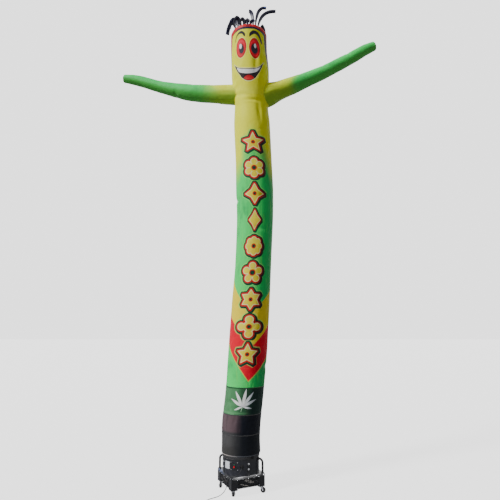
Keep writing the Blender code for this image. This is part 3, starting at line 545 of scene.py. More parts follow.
def stitchAlong(name, lines, closed, finish, slot):
    # Stitches along closed or open lists of points
    points, edges = [], []
    for line in lines:
        first = len(points)
        points += [tuple(point) for point in line]
        edges += [(first + k, first + k + 1) for k in range(len(line) - 1)]
        if closed:
            edges.append((len(points) - 1, first))
    mesh = bpy.data.meshes.new(name)
    mesh.from_pydata(points, edges, [])
    stitch = beadMesh("stitch", 0.5, sewing["stitch"])
    runTree(mesh, stitch, "stitch", slot, Pitch=sewing["pitch"], Finish=finish)


# Smooth curves


def between(rows, column, height):
    # A column of a table at a height, on a smooth curve through its rows
    height = min(max(height, rows[0][0]), rows[-1][0])
    last = len(rows) - 2
    i = max(0, min(last, sum(row[0] <= height for row in rows) - 1))

    def slope(k):
        low, high = rows[max(k - 1, 0)], rows[min(k + 1, len(rows) - 1)]
        return (high[column] - low[column]) / (high[0] - low[0])

    a, b = rows[i], rows[i + 1]
    step = b[0] - a[0]
    t = (height - a[0]) / step
    bend = (1 + 2 * t) * (1 - t) ** 2 * a[column] + t * t * (3 - 2 * t) * b[column]
    return bend + step * (t * (1 - t) ** 2 * slope(i) - t * t * (1 - t) * slope(i + 1))


def evenly(points, count):
    # Points spaced evenly along a line, by their first three numbers
    reached = [0]
    for a, b in zip(points, points[1:]):
        reached.append(reached[-1] + (b.resized(3) - a.resized(3)).length)
    spaced, k = [], 0
    for step in range(count):
        goal = reached[-1] * step / (count - 1)
        while k < len(points) - 2 and reached[k + 1] < goal:
            k += 1
        share = (goal - reached[k]) / max(1e-9, reached[k + 1] - reached[k])
        spaced.append(points[k].lerp(points[k + 1], min(1, max(0, share))))
    return spaced


def through(rows, count):
    # Evenly spaced rows on a smooth curve through the given ones
    fine = []
    for i in range(len(rows) - 1):
        quad = [Vector(rows[max(0, min(len(rows) - 1, k))]) for k in range(i - 1, i + 3)]
        for s in range(40):
            t = s / 40
            leave, arrive = (quad[2] - quad[0]) / 2, (quad[3] - quad[1]) / 2
            ends = quad[1] * (1 + 2 * t) * (1 - t) ** 2 + quad[2] * t * t * (3 - 2 * t)
            fine.append(ends + leave * t * (1 - t) ** 2 - arrive * t * t * (1 - t))
    return evenly(fine + [Vector(rows[-1])], count)


def ease(value, first, last):
    share = min(1, max(0, (value - first) / (last - first)))
    return share * share * (3 - 2 * share)


def turned(across, facing):
    # The signed turn from one azimuth to another, within half a circle
    return (across - facing + 180) % 360 - 180


def hump(distance, reach):
    # 1 at no distance, and about a third at the reach
    return exp(-((distance / reach) ** 2))


def wave(angle):
    # From 0 to 1 and back in a turn
    return 0.5 + 0.5 * sin(angle)


# The blower's places, which several pieces share

blower = {
    "place": Vector((-0.068, 0.204, 0)),
    "turn": 25.3, "drumRadius": 0.2285, "switchFacing": -19.5, "labelFacing": -45.1,
    "glandFacing": 3.6, "switchHeight": 0.335, "labelHeight": 0.336,
}

# The lead, on the route that its solids hold

lead = {
    "radius": 0.004,
    "route": (
        (0.0173, -0.2753, 0.3330), (0.0160, -0.2960, 0.3297), (0.0080, -0.3120, 0.3172),
        (-0.0024, -0.3163, 0.3003), (-0.0150, -0.3100, 0.2820), (-0.0335, -0.2960, 0.2625),
        (-0.0600, -0.2820, 0.2425), (-0.0900, -0.2775, 0.2318), (-0.1180, -0.2800, 0.2295),
        (-0.1388, -0.2840, 0.2189), (-0.1504, -0.2850, 0.1912), (-0.1580, -0.2830, 0.1500),
        (-0.1700, -0.2780, 0.1100), (-0.1920, -0.2690, 0.0700), (-0.2270, -0.2580, 0.0340),
        (-0.2680, -0.2560, 0.0120), (-0.3100, -0.2700, 0.0048), (-0.3500, -0.3000, 0.0042),
        (-0.3850, -0.3400, 0.0042), (-0.4090, -0.3860, 0.0042), (-0.4175, -0.4300, 0.0042),
    ),
    "coilPlace": Vector((-0.478, -0.486, 0)),
    "coilRadius": 0.042, "outerTurn": 0.0463, "innerTurn": 0.0380, "lowTurn": 0.0042,
    "highTurn": 0.0126, "coilAngle": 1110, "coilStep": 10, "goingIn": (255, 375),
    "goingUp": (500, 610), "goingOut": (760, 880), "tieFacing": 150, "tieLift": 0.0016,
    "bend": 0.036,  # of the way into the plug
    "coilSection": 0.0083, "plugFacing": -80, "plugGap": 0.0003,
    "plugHalf": (0.0135, 0.0115, 0.046),
}


def coilPoint(facing, radius, height):
    return blower["place"] + lead["coilPlace"] + towards(facing) * radius + upward * height


def coilTurns():
    # Layers in turn: outer and inner on the floor, then inner and outer on top of them
    out, inn, low, high = (lead[key] for key in ("outerTurn", "innerTurn", "lowTurn", "highTurn"))
    points = []
    for k in range(round(lead["coilAngle"] / lead["coilStep"]) + 1):
        angle = k * lead["coilStep"]
        radius = out + (inn - out) * (ease(angle, *lead["goingIn"]) - ease(angle, *lead["goingOut"]))
        height = low + (high - low) * ease(angle, *lead["goingUp"])
        height += lead["tieLift"] * hump(turned(90 - angle, lead["tieFacing"]), 22)
        points.append(coilPoint(90 - angle, radius, height))
    return points


def plugPlace(along=0.0, beside=0.0, up=0.0):
    # A place in the plug's own lines: ahead from its tail, away from the coil, and up
    out, ahead = towards(lead["plugFacing"]), towards(lead["plugFacing"] - 90)
    wide, tall, long = lead["plugHalf"]
    radius = lead["coilRadius"] + lead["coilSection"] + wide
    foot = coilPoint(lead["plugFacing"], radius + lead["plugGap"], tall + lead["plugGap"])
    return foot + ahead * (along - long) + out * beside + upward * up


def intoPlug(start, facing):
    # Straight off the coil's last turn, then round one bend into the plug's tail
    bend, floor, tail = lead["bend"], lead["lowTurn"], plugPlace(0.004)
    leave, arrive = towards(facing - 90), towards(lead["plugFacing"] - 90)
    inLeave, inArrive = (Vector((way.y, -way.x, 0)) for way in (leave, arrive))
    last = ((tail - start).dot(inLeave) + bend * inArrive.dot(inLeave) - bend) / arrive.dot(inLeave)
    centre = tail - arrive * last + inArrive * bend
    first = (centre - start).dot(leave)
    turn = tau - leave.angle(arrive) if leave.cross(arrive).z > 0 else leave.angle(arrive)
    whole = first + bend * turn + last
    points = []
    for k in range(1, 15):
        gone = whole * k / 14
        angle = (gone - first) / bend
        if gone < first:
            point = start + leave * gone
        elif angle < turn:
            point = centre - inLeave * bend * cos(angle) + leave * bend * sin(angle)
        else:
            point = tail - arrive * (whole - gone)
        drop = (floor - start.z) * ease(gone, 0.008, 0.008 + whole / 2)
        point.z = start.z + drop + (tail.z - floor) * ease(gone, whole / 2, whole)
        points.append(point)
    return points


def leadPoints():
    coil = coilTurns()
    route = [blower["place"] + Vector(row) for row in lead["route"]] + [coil[0]]
    return through(route, 38)[:-1] + coil + intoPlug(coil[-1], 90 - lead["coilAngle"])


def makeLead():
    points = leadPoints()
    curve = bpy.data.curves.new("leadCord", "CURVE")
    curve.dimensions = "3D"
    curve.bevel_depth = lead["radius"]
    curve.bevel_resolution = 5
    curve.use_fill_caps = True
    spline = curve.splines.new("POLY")
    spline.points.add(len(points) - 1)
    for target, point in zip(spline.points, points):
        target.co = (*point, 1)
    spline.use_smooth = True
    curve.materials.append(finishes["leadRubber"])
    cord = fit(addObject("leadCord", curve), "cord_rubber", "cord_run", "cord_coil")
    length = sum((b - a).length for a, b in zip(points, points[1:]))
    print("lead", round(length, 3), "m")
    return cord, points[0], length


# The cloth tube: its shape and its small folds

tube = {
    "rows": (
        (0.440, 0.000, 0.489), (0.620, 0.000, 0.482), (0.800, 0.006, 0.493), (1.180, 0.045, 0.491),
        (1.560, 0.077, 0.500), (1.810, 0.094, 0.503), (2.330, 0.127, 0.496), (2.700, 0.150, 0.481),
        (3.100, 0.170, 0.479), (3.400, 0.180, 0.483), (3.800, 0.176, 0.499), (4.130, 0.168, 0.488),
        (4.680, 0.142, 0.490), (4.900, 0.135, 0.464), (5.100, 0.128, 0.482), (5.310, 0.121, 0.506),
        (5.450, 0.117, 0.507), (5.700, 0.101, 0.495), (5.950, 0.098, 0.492),
    ),
    # height, azimuth, half up, half round, turn, depth
    "folds": (
        (5.440, 17, 0.170, 0.034, 3, 0.013), (4.780, 24, 0.130, 0.032, -4, 0.013),
        (5.000, -88, 0.110, 0.030, 12, 0.014), (4.985, 92, 0.100, 0.030, -16, 0.014),
        (4.925, 8, 0.022, 0.110, 5, 0.009), (5.010, -30, 0.028, 0.100, 14, 0.008),
        (4.900, 172, 0.034, 0.150, -6, 0.014), (3.640, -82, 0.030, 0.120, 8, 0.014),
        (3.670, 30, 0.032, 0.090, -14, 0.010), (3.235, 22, 0.026, 0.110, 6, 0.007),
        (3.420, 150, 0.040, 0.150, 10, 0.012), (2.420, -150, 0.034, 0.130, -8, 0.010),
        (1.500, 76, 0.030, 0.120, 10, 0.010), (1.070, -40, 0.028, 0.130, -6, 0.007),
        (0.760, 100, 0.130, 0.040, 4, 0.009), (0.740, -60, 0.140, 0.040, -5, 0.009),
    ),
    # small creases that only the cloth has, in the same columns
    "creases": (
        (3.605, -62, 0.007, 0.080, 22, 0.006), (3.225, -58, 0.006, 0.060, 18, 0.004),
        (4.555, 34, 0.009, 0.100, -24, 0.004), (4.330, 44, 0.110, 0.012, 6, 0.005),
        (3.900, 40, 0.120, 0.012, -8, 0.005), (2.360, 28, 0.120, 0.014, 14, 0.005),
        (2.030, 36, 0.100, 0.014, -12, 0.005), (1.380, 44, 0.012, 0.090, 30, 0.005),
        (1.330, 8, 0.070, 0.012, -10, 0.004), (4.935, 20, 0.008, 0.110, -6, 0.005),
        (4.870, -6, 0.007, 0.090, 8, 0.004), (5.330, 30, 0.012, 0.070, 22, 0.005),
        (2.800, -66, 0.008, 0.080, -14, 0.004), (1.080, 10, 0.090, 0.020, 12, 0.004),
        (0.860, -20, 0.080, 0.024, 10, 0.005), (5.050, -60, 0.010, 0.090, 34, 0.006),
        (5.000, 66, 0.010, 0.090, -34, 0.006),
    ),
    "foldReach": 0.45,
    # depth, scale and change with height of the broad dents, the fine dents and the ridges
    "dents": ((0.0030, 1.2, 1.6), (0.0014, 3.4, 4.6), (0.0022, 1.7, 2.6)),
    # the puckers round a sleeve's root: depth, reach, count and turn, then rows of distance, width and share
    "puckers": (0.0042, 0.42, 11, 1.3),
    "puckerRings": ((0.15, 0.075, 1), (0.24, 0.07, 0.35)),
    # height, reach, depth and count of the gathers beside each seam
    "gathers": (
        (5.900, 0.045, 0.0022, 46), (1.245, 0.026, 0.0014, 38), (0.920, 0.024, 0.0014, 34),
        (0.682, 0.030, 0.0020, 40),
    ),
    "lean": (0.62, 6.05, 0.46, 1.5), "cuffTop": 0.682, "bandTop": 0.920, "leafTop": 1.245,
    "crown": 5.900, "sides": 144, "pitch": 0.0115, "wall": 0.002, "gap": 0.0003,
    "mapRadius": 0.2445,
    "armRoots": ((-97, 5.118), (92, 5.085)),  # azimuth and height where the sleeves join
}
leadCord, leadExit, leadLength = makeLead()


def tubeMiddle(height):
    low, high, reach, power = tube["lean"]
    share = min(1, max(0, (height - low) / (high - low)))
    return blower["place"] + Vector((between(tube["rows"], 1, height), -reach * share**power, height))


def tubeRadius(height):
    return between(tube["rows"], 2, height) / 2


def foldDepth(folds, height, azimuth, radius):
    # How far the folds draw the tube in
    depth = 0
    for level, facing, halfUp, halfRound, turn, deepest in folds:
        up = height - level
        if abs(up) < tube["foldReach"]:
            beside = radius * radians(turned(azimuth, facing))
            c, s = cos(radians(turn)), sin(radians(turn))
            depth += deepest * hump(up * c + beside * s, halfUp) * hump(beside * c - up * s, halfRound)
    return depth


def rimOf(angle):
    return Vector((cos(angle), sin(angle), 0))


def dents(rim, edge, *rows):
    # Broad dents, fine dents and sharp ridges; a row is a depth, a scale and a place in the noise
    broad, fine, ridge = (noise.noise(rim * scale + Vector(place)) for depth, scale, place in rows)
    ridge = max(0, (1 - abs(ridge) * 2.2 - edge) / (1 - edge))
    return rows[0][0] * broad + rows[1][0] * fine - rows[2][0] * ridge**2


def ruffle(height, azimuth, radius):
    # Dents, sharp creases, gathers beside the seams and puckers round the sleeves, as an outward offset
    angle = radians(azimuth)
    rim = rimOf(angle)
    starts = ((0, 0), (7, 0), (0, 9))
    rows = zip(tube["dents"], starts)
    out = dents(rim, 0.70, *((deep, scale, (*start, height * rate)) for (deep, scale, rate), start in rows))
    out -= foldDepth(tube["creases"], height, azimuth, radius)
    for level, reach, deep, count in tube["gathers"]:
        gather = hump(height - level, reach)
        if gather > 0.01:
            out -= deep * gather * wave(count * angle + 4 * noise.noise(rim * 5))
    deepest, reach, count, turn = tube["puckers"]
    for facing, level in tube["armRoots"]:
        beside = radius * radians(turned(azimuth, facing))
        up = height - level
        away = hypot(beside, up)
        if away < reach:
            spread = sum(share * hump(away - place, wide) for place, wide, share in tube["puckerRings"])
            out -= deepest * spread * wave(count * atan2(up, beside) + turn)
    return out


def tubePoint(azimuth, height, lift=0.0):
    radius = tubeRadius(height)
    out = radius - foldDepth(tube["folds"], height, azimuth, radius) + ruffle(height, azimuth, radius)
    return tubeMiddle(height) + towards(azimuth) * (out + lift)


def facingsOf(sides):
    return [-180 + 360 * k / sides for k in range(sides)]


def tubeSection(name, low, high, finish, slot, node, foot=()):
    # A closed wall of the tube's cloth between two heights; foot holds level (radius, height) rows under it
    sides, count = tube["sides"], max(3, round((high - low) / tube["pitch"]) + 1)
    facings = facingsOf(sides)
    outs = [towards(azimuth) for azimuth in facings]
    heights = [low + (high - low) * k / (count - 1) for k in range(count)]
    outer = [[blower["place"] + out * radius + upward * height for out in outs] for radius, height in foot]
    outer += [[tubePoint(azimuth, height) for azimuth in facings] for height in heights]
    inner = [[point - out * tube["wall"] for point, out in zip(ring, outs)] for ring in outer]
    levels = [height for radius, height in foot] + heights
    turn = tau * tube["mapRadius"]
    mesh = wallMesh(name, outer, inner, lambda r, k: ((k / sides - 0.5) * turn, levels[r]))
    return addPiece(mesh, finish, 40, slot, node)


# Printed cloth: a ripstop ground with the prints of each section

cloth = {
    "yellow": (0.93, 0.94, 0.035), "green": (0.040, 0.80, 0.150),
    "deepGreen": (0.008, 0.24, 0.085), "red": (0.86, 0.006, 0.030),
    "hoodRed": (0.70, 0.010, 0.018), "black": (0.012, 0.010, 0.018),
    "navy": (0.010, 0.009, 0.045), "white": (0.94, 0.94, 0.95), "halo": (0.98, 0.96, 0.42),
    "gold": (0.95, 0.74, 0.030), "ripstop": 0.006,
}


def clothPaint(name, sheen=0.02):
    paint = Paint(name, Sheen_Weight=sheen, Specular_IOR_Level=0.12)
    u, v, w = paint.parts(paint.cloth())
    return paint, u, v


def clothFinish(paint, u, v, fade=0.05):
    # The cloth's wear over its colour, its darker threads, painted shade where its crumples sink, and its
    # threads and crumples as relief
    where = paint.place()
    crumple = paint.noise(where, 26, 4, 0.55)
    threads = [((line / cloth["ripstop"]).math("FRACT") - 0.5).size().rise(0.40, 0.47) for line in (u, v)]
    threads = threads[0].most(threads[1])
    paint.lay((0.30, 0.28, 0.24), paint.noise(where, 2.6).rise(0.55, 0.85) * fade)
    # the threads' lines are darker, and painted shade darkens the cloth where the crumples sink
    paint.lay((0, 0, 0), threads * 0.07 + crumple.rise(0.62, 0.40) * 0.04)
    relief = paint.bump(threads, 0.0003, 0.6, paint.bump(crumple, 0.006, 0.35))
    return paint.finish(crumple * 0.22 + 0.40, relief)


def oval(u, v, middle, half, lean=0.0, taper=0.0):
    # About the distance from an oval's edge, less than 0 inside
    up = v - middle[1]
    across = u - middle[0] - up * lean
    if taper:
        across = across / (up * (taper / half[1]) + 1)
    x, y = across / half[0], up / half[1]
    return ((x.squared() + y.squared()).math("SQRT") - 1) * min(half)


# The head's print: a plain smiling face of round eyes, arched brows and a wide mouth, in a red hood

face = {
    "hoodTop": (
        (-0.34, 5.800), (-0.270, 5.838), (-0.193, 5.856), (-0.123, 5.866), (-0.045, 5.864), (0.010, 5.862),
        (0.084, 5.866), (0.169, 5.854), (0.239, 5.824), (0.30, 5.780),
    ),
    "hoodLeft": (
        (5.38, -0.352), (5.49, -0.342), (5.62, -0.322), (5.74, -0.288), (5.82, -0.272), (5.90, -0.250),
    ),
    "hoodRight": ((5.38, 0.330), (5.46, 0.288), (5.56, 0.260), (5.68, 0.246), (5.80, 0.236), (5.90, 0.215)),
    "hoodEdge": (
        (-0.40, 0.007), (-0.30, 0.008), (-0.18, 0.018), (-0.08, 0.026), (0.0, 0.028), (0.17, 0.026),
        (0.25, 0.060), (0.40, 0.080),
    ),
    "hoodRedFoot": 5.62, "hoodFoot": 5.405,
    "eyes": (
        {
            "middle": (-0.113, 5.618), "half": (0.074, 0.133), "lean": 0.05, "taper": 0.06,
            "pupil": (-0.107, 5.604), "pupilHalf": (0.033, 0.066),
            "glint": (-0.118, 5.640), "glintHalf": (0.0185, 0.034),
        },
        {
            "middle": (0.071, 5.606), "half": (0.076, 0.138), "lean": 0.045, "taper": 0.03,
            "pupil": (0.066, 5.599), "pupilHalf": (0.045, 0.068),
            "glint": (0.078, 5.638), "glintHalf": (0.0165, 0.030),
        },
    ),
    "browTops": (
        (
            (-0.206, 5.700), (-0.194, 5.768), (-0.172, 5.815), (-0.150, 5.834), (-0.120, 5.846),
            (-0.090, 5.842), (-0.066, 5.822), (-0.050, 5.798),
        ),
        (
            (0.004, 5.792), (0.022, 5.822), (0.050, 5.842), (0.082, 5.846), (0.115, 5.838), (0.150, 5.808),
            (0.178, 5.755), (0.194, 5.690),
        ),
    ),
    "browFeet": (
        (
            (-0.206, 5.700), (-0.194, 5.737), (-0.172, 5.785), (-0.150, 5.803), (-0.120, 5.811),
            (-0.090, 5.801), (-0.066, 5.769), (-0.050, 5.761),
        ),
        (
            (0.004, 5.751), (0.022, 5.763), (0.050, 5.787), (0.082, 5.799), (0.115, 5.787), (0.150, 5.747),
            (0.178, 5.693), (0.194, 5.690),
        ),
    ),
    "lipTop": (
        (-0.236, 5.428), (-0.205, 5.394), (-0.160, 5.360), (-0.090, 5.334), (-0.021, 5.324), (0.060, 5.336),
        (0.120, 5.364), (0.155, 5.398), (0.178, 5.432),
    ),
    "lipFoot": (
        (-0.236, 5.428), (-0.200, 5.352), (-0.157, 5.280), (-0.100, 5.205), (-0.031, 5.171), (0.038, 5.193),
        (0.095, 5.262), (0.140, 5.340), (0.178, 5.432),
    ),
    "teethFoot": (
        (-0.200, 5.400), (-0.178, 5.338), (-0.145, 5.298), (-0.105, 5.277), (-0.023, 5.261), (0.058, 5.280),
        (0.105, 5.318), (0.150, 5.400),
    ),
    "tongue": (-0.027, 5.176), "tongueHalf": (0.078, 0.064),
}


def headFinish():
    paint, u, v = clothPaint("headCloth")
    paint.colour = cloth["yellow"]
    paint.lay((0.80, 0.72, 0.02), paint.noise(paint.place(), 6).rise(0.45, 0.8) * 0.35)
    paint.lay((0.90, 0.98, 0.16), v.rise(5.20, 4.98) * 0.25)
    # the hood
    edge = (v - paint.graph(u, face["hoodTop"])).most(u - paint.graph(v, face["hoodRight"]))
    edge = edge.most(paint.graph(v, face["hoodLeft"]) - u)
    covered = inside(edge * -1) * inside(face["hoodFoot"] - v)
    red = inside(paint.graph(u, face["hoodEdge"]) - edge) * inside(face["hoodFoot"] + 0.016 - v)
    lower = v.rise(face["hoodRedFoot"] - 0.03, face["hoodRedFoot"] + 0.03)
    red = red * u.rise(0.0, 0.05).most(lower).most(u.rise(-0.42, -0.45))
    # lighter red streaks on the hood are painted highlights
    paintedHoodHighlights = paint.noise(paint.vector(u * 9, v * 2.2), 3, 3)
    hood = paint.mix(cloth["hoodRed"], (0.90, 0.10, 0.10), paintedHoodHighlights.rise(0.55, 0.72) * 0.7)
    hood = paint.mix(cloth["navy"], hood, red)
    paint.lay(hood, covered)
    # brows
    for top, foot in zip(face["browTops"], face["browFeet"]):
        ends = inside((u - (top[0][0] + top[-1][0]) / 2).size() - (top[-1][0] - top[0][0]) / 2)
        band = inside(v - paint.graph(u, top), 0.0022) * inside(paint.graph(u, foot) - v, 0.0022)
        paint.lay(cloth["black"], band * ends)
    # eyes
    for eye in face["eyes"]:
        rim = oval(u, v, eye["middle"], eye["half"], eye["lean"], eye["taper"])
        paint.lay(cloth["halo"], inside(rim - 0.006, 0.003) * 0.7)
        paint.lay((0.62, 0.020, 0.012), inside(rim))
        paint.lay((0.96, 0.020, 0.050), inside(rim + 0.014, 0.003))
        pupil = oval(u, v, eye["pupil"], eye["pupilHalf"], 0.0, -0.10)
        paint.lay((0.58, 0.010, 0.020), inside(pupil - 0.012, 0.005) * 0.8)
        level = eye["pupil"][1]
        dark = paint.mix((0.022, 0.024, 0.040), (0.006, 0.006, 0.012), v.rise(level - 0.05, level + 0.02))
        paint.lay(dark, inside(pupil, 0.003))
        paint.lay(cloth["white"], inside(oval(u, v, eye["glint"], eye["glintHalf"]), 0.002))
    # mouth
    top, foot = paint.graph(u, face["lipTop"]), paint.graph(u, face["lipFoot"])
    first, last = face["lipTop"][0][0], face["lipTop"][-1][0]
    wide = (u - (first + last) / 2).size() - (last - first) / 2
    mouth = (v - top).most(foot - v).most(wide)
    paint.lay(cloth["halo"], inside(mouth - 0.014, 0.004) * 0.9)
    paint.lay(cloth["black"], inside(mouth - 0.003))
    # painted sheen: lighter grey patches in the mouth's hollow, on its lit left side only
    paintedShine = paint.noise(paint.place(), 14, 2).rise(0.4, 0.7)
    hollow = paint.mix((0.012, 0.004, 0.007), (0.050, 0.042, 0.044), paintedShine)
    paint.lay(hollow, inside(mouth + 0.010, 0.003) * u.rise(0.16, -0.02))
    teeth = (v - top + 0.006).most(paint.graph(u, face["teethFoot"]) - v).most((u + 0.025).size() - 0.172)
    paint.lay(cloth["white"], inside(teeth.most(mouth + 0.004)))
    tongue = oval(u, v, face["tongue"], face["tongueHalf"]).most(mouth + 0.006)
    licked = paint.mix((0.80, 0.030, 0.035), (0.55, 0.010, 0.020), v.rise(5.19, 5.235))
    paint.lay(licked, inside(tongue, 0.002))
    return clothFinish(paint, u, v)


# The long print: nine sewn-look ornaments one above another, three chevrons and a fade from yellow to green

column = {
    "first": 4.354, "pitch": 0.338, "count": 9, "middle": -0.005,
    "reach": 0.137,  # from an ornament's middle to its tips
    "red": 0.017, "dark": 0.034, "halo": 0.048, "shift": (0.010, -0.008),
    # one number for each ornament: its points, how deep they go, size, width, round petals or not, hole
    "points": (5, 6, 4, 4, 8, 5, 6, 4, 5),
    "bite": (0.46, 0.56, 0.52, 0.62, 0.66, 0.40, 0.60, 0.44, 0.50),
    "size": (1.00, 0.94, 1.00, 0.96, 0.90, 0.98, 0.98, 1.00, 1.00),
    "width": (1.10, 1.02, 0.96, 0.62, 0.90, 0.98, 1.00, 1.12, 1.00),
    "petals": (0, 1, 0, 0, 1, 1, 0, 1, 0),
    "hole": (0.18, 0.26, 0.20, 0.0, 0.24, 0.30, 0.20, 0.24, 0.20),
    # how far from the front's middle, and the height where green starts to turn yellow
    "fade": ((0.0, 4.50), (0.10, 4.42), (0.20, 4.20), (0.30, 4.06), (0.45, 4.00), (0.77, 4.02)),
    "chevrons": ((0.011, 2.157, 1.22, 1.00), (0.068, 1.768, 0.92, 1.05), (0.034, 1.321, 1.28, 1.03)),
}


def ornament(paint, x, y, looks):
    # Distance from the edge of a ring of points or petals
    points, bite, size, width, petals = looks
    x = x / width
    away = (x.squared() + y.squared()).math("SQRT")
    share = tau / points
    turn = x.math("ARCTAN2", y)
    fold = (turn / share + 0.5).math("FLOORED_MODULO", 1) - 0.5
    angle = fold.size() * share
    reach = size * column["reach"]
    along, beside = away * angle.math("COSINE"), away * angle.math("SINE")
    half = share * 0.5
    notch = reach * bite
    run = reach - notch * half.math("COSINE")
    rise = notch * half.math("SINE")
    star = ((along - reach) * rise + beside * run) / (run.squared() + rise.squared()).math("SQRT")
    tip = away - reach + 0.006
    bend = reach * 0.36
    petal = ((along - reach + bend).squared() + beside.squared()).math("SQRT") - bend
    petal = petal.least(away - reach * 0.50)
    return paint.blend(star.most(tip), petal, petals), away


def bodyFinish():
    paint, u, v = clothPaint("bodyCloth")
    # the ground: green that fades up into yellow, later at the sides
    start = paint.graph(u.size(), column["fade"])
    drift = paint.noise(paint.vector(u * 2.6, v * 1.1), 3, 2)
    share = (v - start + (drift - 0.5) * 0.34).rise(-0.34, 0.16)
    patch = paint.noise(paint.vector(u * 3.4, v * 1.3, 4), 2.4, 3, 0.6)
    green = paint.mix(cloth["green"], cloth["deepGreen"], patch.rise(0.50, 0.78) * 0.55)
    # painted shade: the green darkens towards the right side
    green = paint.mix(green, cloth["deepGreen"], u.rise(0.04, 0.26) * 0.6)
    streak = paint.noise(paint.vector(u * 16 + v * 2, v * 1.4), 1.6, 2)
    green = paint.mix(green, (0.16, 0.80, 0.12), streak.rise(0.56, 0.70) * 0.5)
    paint.colour = paint.mix(green, cloth["yellow"], share)
    # chevrons, from the highest down
    tones = (cloth["gold"], cloth["red"], green)
    edges = []
    for (tip, low, left, right), tone in zip(column["chevrons"], tones):
        side = u - tip
        edge = side.most(0) * right - side.least(0) * left + low - v
        edges.append(edge)
        if tone is cloth["red"]:
            tone = paint.mix(tone, (0.55, 0.004, 0.030), patch.rise(0.45, 0.7) * 0.5)
        paint.lay(tone, edge.rise(-0.0016, 0.0016))
    paint.lay((0.90, 0.62, 0.10), inside(edges[2].size() - 0.008, 0.003) * 0.75)
    paint.lay((0.90, 0.60, 0.08), inside(edges[1].size() - 0.004, 0.003) * 0.6)
    # ornaments, each picked by its place in the column
    top = column["first"] + column["pitch"] / 2
    down = (top - v) / column["pitch"]
    index = down.math("FLOOR")
    share = (index + 0.5) / column["count"]
    y = (down - index - 0.5) * -column["pitch"]
    x = u - column["middle"]
    looks = (("points", 10), ("bite", 1), ("size", 1), ("width", 2), ("petals", 1))
    rows = [paint.pick(share, column[key], most) for key, most in looks]
    shape, away = ornament(paint, x, y, rows)
    shade, far = ornament(paint, x - column["shift"][0], y - column["shift"][1], rows)
    half = column["count"] / 2
    bounds = inside((down - half).size() - half, 0.01)
    paint.lay((0.30, 0.86, 0.20), inside(shape - column["halo"], 0.006) * bounds * 0.65)
    # the dark outline is print; its turn to near black on the right side is painted shade
    dark = paint.mix((0.006, 0.060, 0.030), (0.010, 0.010, 0.008), u.rise(0.02, 0.10))
    edge = (shape - column["dark"]).least(shade - column["dark"] - 0.002)
    paint.lay(dark, inside(edge, 0.0025) * bounds)
    # the red outline is print; it darkens towards the right side as painted shade
    crimson = paint.mix((0.72, 0.010, 0.014), (0.34, 0.004, 0.010), u.rise(0.00, 0.12))
    paint.lay(crimson, inside(shape - column["red"], 0.002) * bounds)
    gold = paint.mix(cloth["gold"], (0.93, 0.84, 0.06), y.rise(-0.10, 0.10))
    paint.lay((0.98, 0.90, 0.42), inside(shape) * bounds)
    paint.lay(gold, inside(shape + 0.010, 0.004) * bounds)
    hole = paint.pick(share, column["hole"]) * column["reach"]
    ring = (away - hole).most(hole * -1 + 0.004)
    paint.lay(crimson, inside(ring, 0.0025) * bounds)
    paint.lay(dark, inside(ring + 0.012, 0.002) * bounds)
    return clothFinish(paint, u, v)


# The sewn bands under it

leaf = {
    "middle": (-0.008, 1.024),
    # each leaflet's tip beside the middle, and its half width
    "leaflets": (
        (0.029, 0.215, 0.0190), (-0.107, 0.183, 0.0185), (0.127, 0.175, 0.0180), (-0.163, 0.0895, 0.0165),
        (0.170, 0.084, 0.0160), (-0.101, -0.044, 0.0120), (0.120, -0.025, 0.0120),
    ),
    "stem": (-0.013, -0.061, 0.0035),
}


def leafBandFinish():
    paint, u, v = clothPaint("leafBandCloth", sheen=0.04)
    patch = paint.noise(paint.vector(u * 5, v * 2), 2, 3)
    light = paint.mix((0.075, 0.24, 0.100), (0.100, 0.31, 0.130), patch.rise(0.42, 0.66))
    # painted shade: the band darkens towards the right side, with a darker upright line where the shade
    # begins
    paint.colour = paint.mix(light, (0.030, 0.105, 0.048), u.rise(-0.12, -0.02))
    paint.lay((0.006, 0.026, 0.022), u.rise(-0.01, 0.13))
    paint.lay((0.030, 0.055, 0.030), inside((u - 0.055).size() - 0.006, 0.012) * 0.6)
    # painted highlight: a lighter green strip just above the lower seam, on the left side
    paintedSeamHighlight = inside((v - 0.945).size() - 0.010, 0.010)
    paint.lay((0.13, 0.38, 0.16), paintedSeamHighlight * u.rise(0.12, -0.10) * 0.7)
    paint.lay((0.004, 0.070, 0.012), v.rise(1.226, 1.240) * 0.9)
    x, y = u - leaf["middle"][0], v - leaf["middle"][1]
    shape = None
    for right, up, half in leaf["leaflets"]:
        long = hypot(right, up)
        dx, dy = right / long, up / long
        along = (x * dx + y * dy) / long
        beside = (x * dy - y * dx).size()
        wide = along * (1 - along) * (4.4 - along * 0.9) * half
        piece = (wide - beside).least((1 - along) * 0.1)
        shape = piece if shape is None else shape.most(piece)
    right, up, half = leaf["stem"]
    long = hypot(right, up)
    along = (x * (right / long) + y * (up / long)) / long
    beside = (x * (up / long) - y * (right / long)).size()
    stem = (along * -1 * half + half * 1.6 - beside).least(along * 0.1 + 0.02).least((1 - along) * 0.1)
    paint.lay((0.004, 0.020, 0.014), inside(shape * -1 - 0.009, 0.006) * u.rise(-0.06, 0.05) * 0.85)
    paint.lay((0.42, 0.66, 0.44), inside(stem * -1, 0.0015))
    # painted shade: the white leaf turns bluish grey on the right side
    white = paint.mix((0.95, 0.97, 0.95), (0.66, 0.72, 0.80), u.rise(-0.01, 0.10))
    heart = inside((x.squared() + y.squared()).math("SQRT") - 0.03, 0.02)
    white = paint.mix(white, (0.72, 0.66, 0.80), heart * 0.5)
    paint.lay(white, inside(shape * -1, 0.0014))
    return clothFinish(paint, u, v, 0.04)


